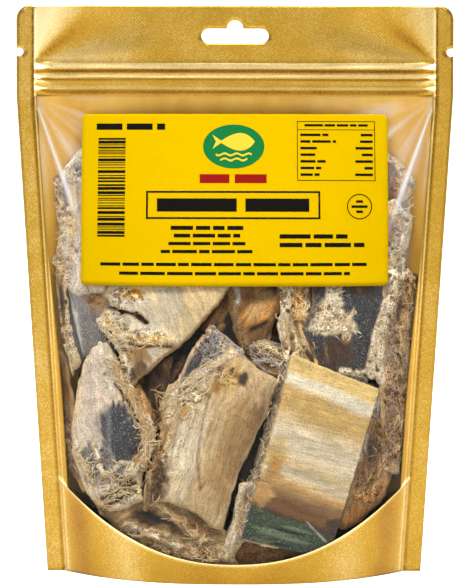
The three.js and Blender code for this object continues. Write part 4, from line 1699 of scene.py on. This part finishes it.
# Painted soft glare on the film: x, lowest and highest z, half width, strength
GLARE = [
    (-75, 96, 150, 4.0, 0.12),
    (-58.5, 52, 100, 1.2, 0.14),
    (72, 84, 146, 3.0, 0.04),
    (-80, 140, 200, 3.0, 0.14),
    (80, 140, 200, 3.0, 0.14),
]
GLARE_END = 12.0
CREST_WHITENING_AND_HIGHLIGHT = 0.37
RAY_HIGHLIGHT = 0.5
MOST_WHITE = 0.8


def make_window(film):
    """The clear film, whitened along the crests of its folds, partly as stress whitening and partly as
    painted highlight, with painted highlight rays from the strip's ends and painted glare.
    """
    points, faces = window_sheet(True)
    piece = make_object("window_film", points, faces, [film])
    x, _, z = points.T
    white = np.zeros_like(x)
    for side in SIDES:
        for fold in FILM_FOLDS:
            # Fold crests whitened, partly stress whitening and partly painted highlight
            white += CREST_WHITENING_AND_HIGHLIGHT * np.clip(fold_height(x, z, fold, side), 0.0, None) ** 2
        inward = SEAL_X - side * x
        reach = np.hypot(inward, STRIP_LOW - z)
        angle = np.arctan2(inward, STRIP_LOW - z)
        # Painted highlight rays fanning down from the strip's end
        rays = 0.5 + 0.5 * noise(np.stack([angle * 10, 0 * angle, reach / 70], -1), 1.0, 31 + side)
        white += RAY_HIGHLIGHT * rays**3 * smoothstep((75 - reach) / 55) * smoothstep((reach - 10) / 20)
    # Painted glare streaks
    for at_x, low, high, half, strength in GLARE:
        ends = smoothstep((z - low) / GLARE_END) * smoothstep((high - z) / GLARE_END)
        white += strength * ends * hill(x, at_x, half)
    store(piece, "whitening_and_painted_glare", np.clip(white, 0.0, MOST_WHITE))


def make_gusset(foil):
    """The bottom: flat on the floor in the middle, folded up between the faces at both ends."""
    across = np.linspace(-1.0, 1.0, GUSSET_ROWS + 1)[:, None]
    x = across_shares()[None, :] * inner_half(0.0) + 0.0 * across
    front, back = (face_depth(x, 0.0 * x, swells) - WALL for swells in (FRONT_SWELLS, BACK_SWELLS))
    y = np.where(across < 0, across * front, across * back)
    fold = smoothstep((np.abs(x) - GUSSET_START) / (inner_half(0.0) - GUSSET_START))
    z = GUSSET_FLOOR + GUSSET_RISE * fold * (1 - np.abs(across))
    points = np.stack([x.ravel(), y.ravel(), z.ravel()], axis=1)
    piece = make_object("foil_gusset", points, grid_faces(*x.shape)[:, ::-1], [foil])
    thicken(piece, WALL)


# Stage, light and camera, in metres
SWEEP_HALF = 4.0
SWEEP_FRONT = -3.0
SWEEP_BEND = 1.2  # where the floor starts to curve up
SWEEP_RADIUS = 0.8
SWEEP_TOP = 4.0
STUDIO_LEVELS = (0.40, 0.55)  # strength of the studio's light from below and from above
AIM = (0, 0, 0.14)

# Lamps: name, place, aim, size, power
LAMPS = [
    ("key_above", (0.0, -0.8, 1.5), AIM, (1.2, 0.4), 21),
    ("fill_front", (0.0, -1.8, 0.17), AIM, (1.8, 1.3), 8),
    ("side_left", (-1.1, 0.12, 0.3), AIM, (0.5, 1.0), 4),
    ("side_right", (1.1, 0.12, 0.3), AIM, (0.5, 1.0), 4),
    ("backdrop_wash", (0.0, 0.5, 2.0), (0, 1.4, 0.3), (2.5, 0.8), 40),
]


def make_stage():
    n = Nodes("studio_white")
    n.set(Base_Color=(0.92, 0.92, 0.92, 1), Roughness=0.8)
    n.set(Emission_Color=(1, 1, 1, 1), Emission_Strength=0.6)
    angles = np.linspace(0.1, math.pi / 2, 12)
    profile = [(SWEEP_FRONT, 0.0), (SWEEP_BEND, 0.0)]
    profile += [(SWEEP_BEND + SWEEP_RADIUS * math.sin(a), SWEEP_RADIUS * (1 - math.cos(a))) for a in angles]
    profile += [(SWEEP_BEND + SWEEP_RADIUS, SWEEP_TOP)]
    points = [(side * SWEEP_HALF, y, z) for y, z in profile for side in SIDES]
    mesh = bpy.data.meshes.new("studio_sweep")
    mesh.from_pydata(points, [], grid_faces(len(profile), 2).tolist())
    mesh.materials.append(n.material)
    floor = bpy.data.objects.new("studio_sweep", mesh)
    bpy.context.scene.collection.objects.link(floor)
    floor.visible_diffuse = False


def area_light(name, place, aim, size, power):
    data = bpy.data.lights.new(name, "AREA")
    data.shape = "RECTANGLE"
    data.size, data.size_y = size
    data.energy = power
    lamp = bpy.data.objects.new(name, data)
    lamp.location = place
    lamp.rotation_euler = (Vector(aim) - Vector(place)).to_track_quat("-Z", "Y").to_euler()
    lamp.visible_camera = False
    bpy.context.scene.collection.objects.link(lamp)


def make_light():
    """A white studio, brighter above than below: a soft key above, a fill in front, a panel at each side."""
    world = bpy.data.worlds.new("studio")
    world.use_nodes = True
    tree = world.node_tree
    where = tree.nodes.new("ShaderNodeTexCoord")
    split = tree.nodes.new("ShaderNodeSeparateXYZ")
    sky = tree.nodes.new("ShaderNodeMapRange")
    numbers = {"From Min": -0.5, "From Max": 0.7, "To Min": STUDIO_LEVELS[0], "To Max": STUDIO_LEVELS[1]}
    for name, number in numbers.items():
        sky.inputs[name].default_value = number
    background = tree.nodes["Background"]
    tree.links.new(where.outputs["Generated"], split.inputs["Vector"])
    tree.links.new(split.outputs["Z"], sky.inputs["Value"])
    tree.links.new(sky.outputs["Result"], background.inputs["Strength"])
    background.inputs["Color"].default_value = (1.0, 1.0, 1.0, 1)
    bpy.context.scene.world = world
    for lamp in LAMPS:
        area_light(*lamp)


def make_camera():
    data = bpy.data.cameras.new("camera")
    data.sensor_width = SENSOR
    data.lens = FOCAL_PIXELS / PICTURE_HEIGHT * SENSOR
    camera = bpy.data.objects.new("camera", data)
    camera.location = (CAMERA_SIDE * MM, -CAMERA_DISTANCE * MM, CAMERA_HEIGHT * MM)
    camera.rotation_euler = (math.radians(90 - CAMERA_PITCH), math.radians(CAMERA_ROLL), 0)
    bpy.context.scene.collection.objects.link(camera)
    bpy.context.scene.camera = camera


# Hatch of the foil by coat, and colours of the label and its inks
COATS = [("gold_foil", 0.3), ("gold_foil_seal", 0.3), ("gold_foil_header", 0.45)]
LABEL_YELLOW = (226, 183, 0)
INKS = [
    ("ink_black", (26, 24, 20)),
    ("ink_green", (28, 122, 62)),
    ("ink_red", (150, 28, 24)),
    ("ink_yellow", (250, 206, 60)),
]
FIRST_SEED = 100
SEED_STEP = 40


def main():
    make_camera()
    coats = [foil_material(*coat) for coat in COATS]
    make_front(coats)
    make_back(coats, lining_material())
    make_gusset(coats[PLAIN_COAT])
    make_window(film_material())
    fish = fish_material()
    for number, chunk in enumerate(CHUNKS):
        make_chunk({**PLAIN, **chunk}, FIRST_SEED + SEED_STEP * number, fish)
    make_strands(fish)
    make_label(paper_material("label_paper", LABEL_YELLOW))
    make_print(*(paper_material(*ink) for ink in INKS))
    make_stage()
    make_light()
    bpy.context.scene.view_settings.view_transform = "Standard"


main()
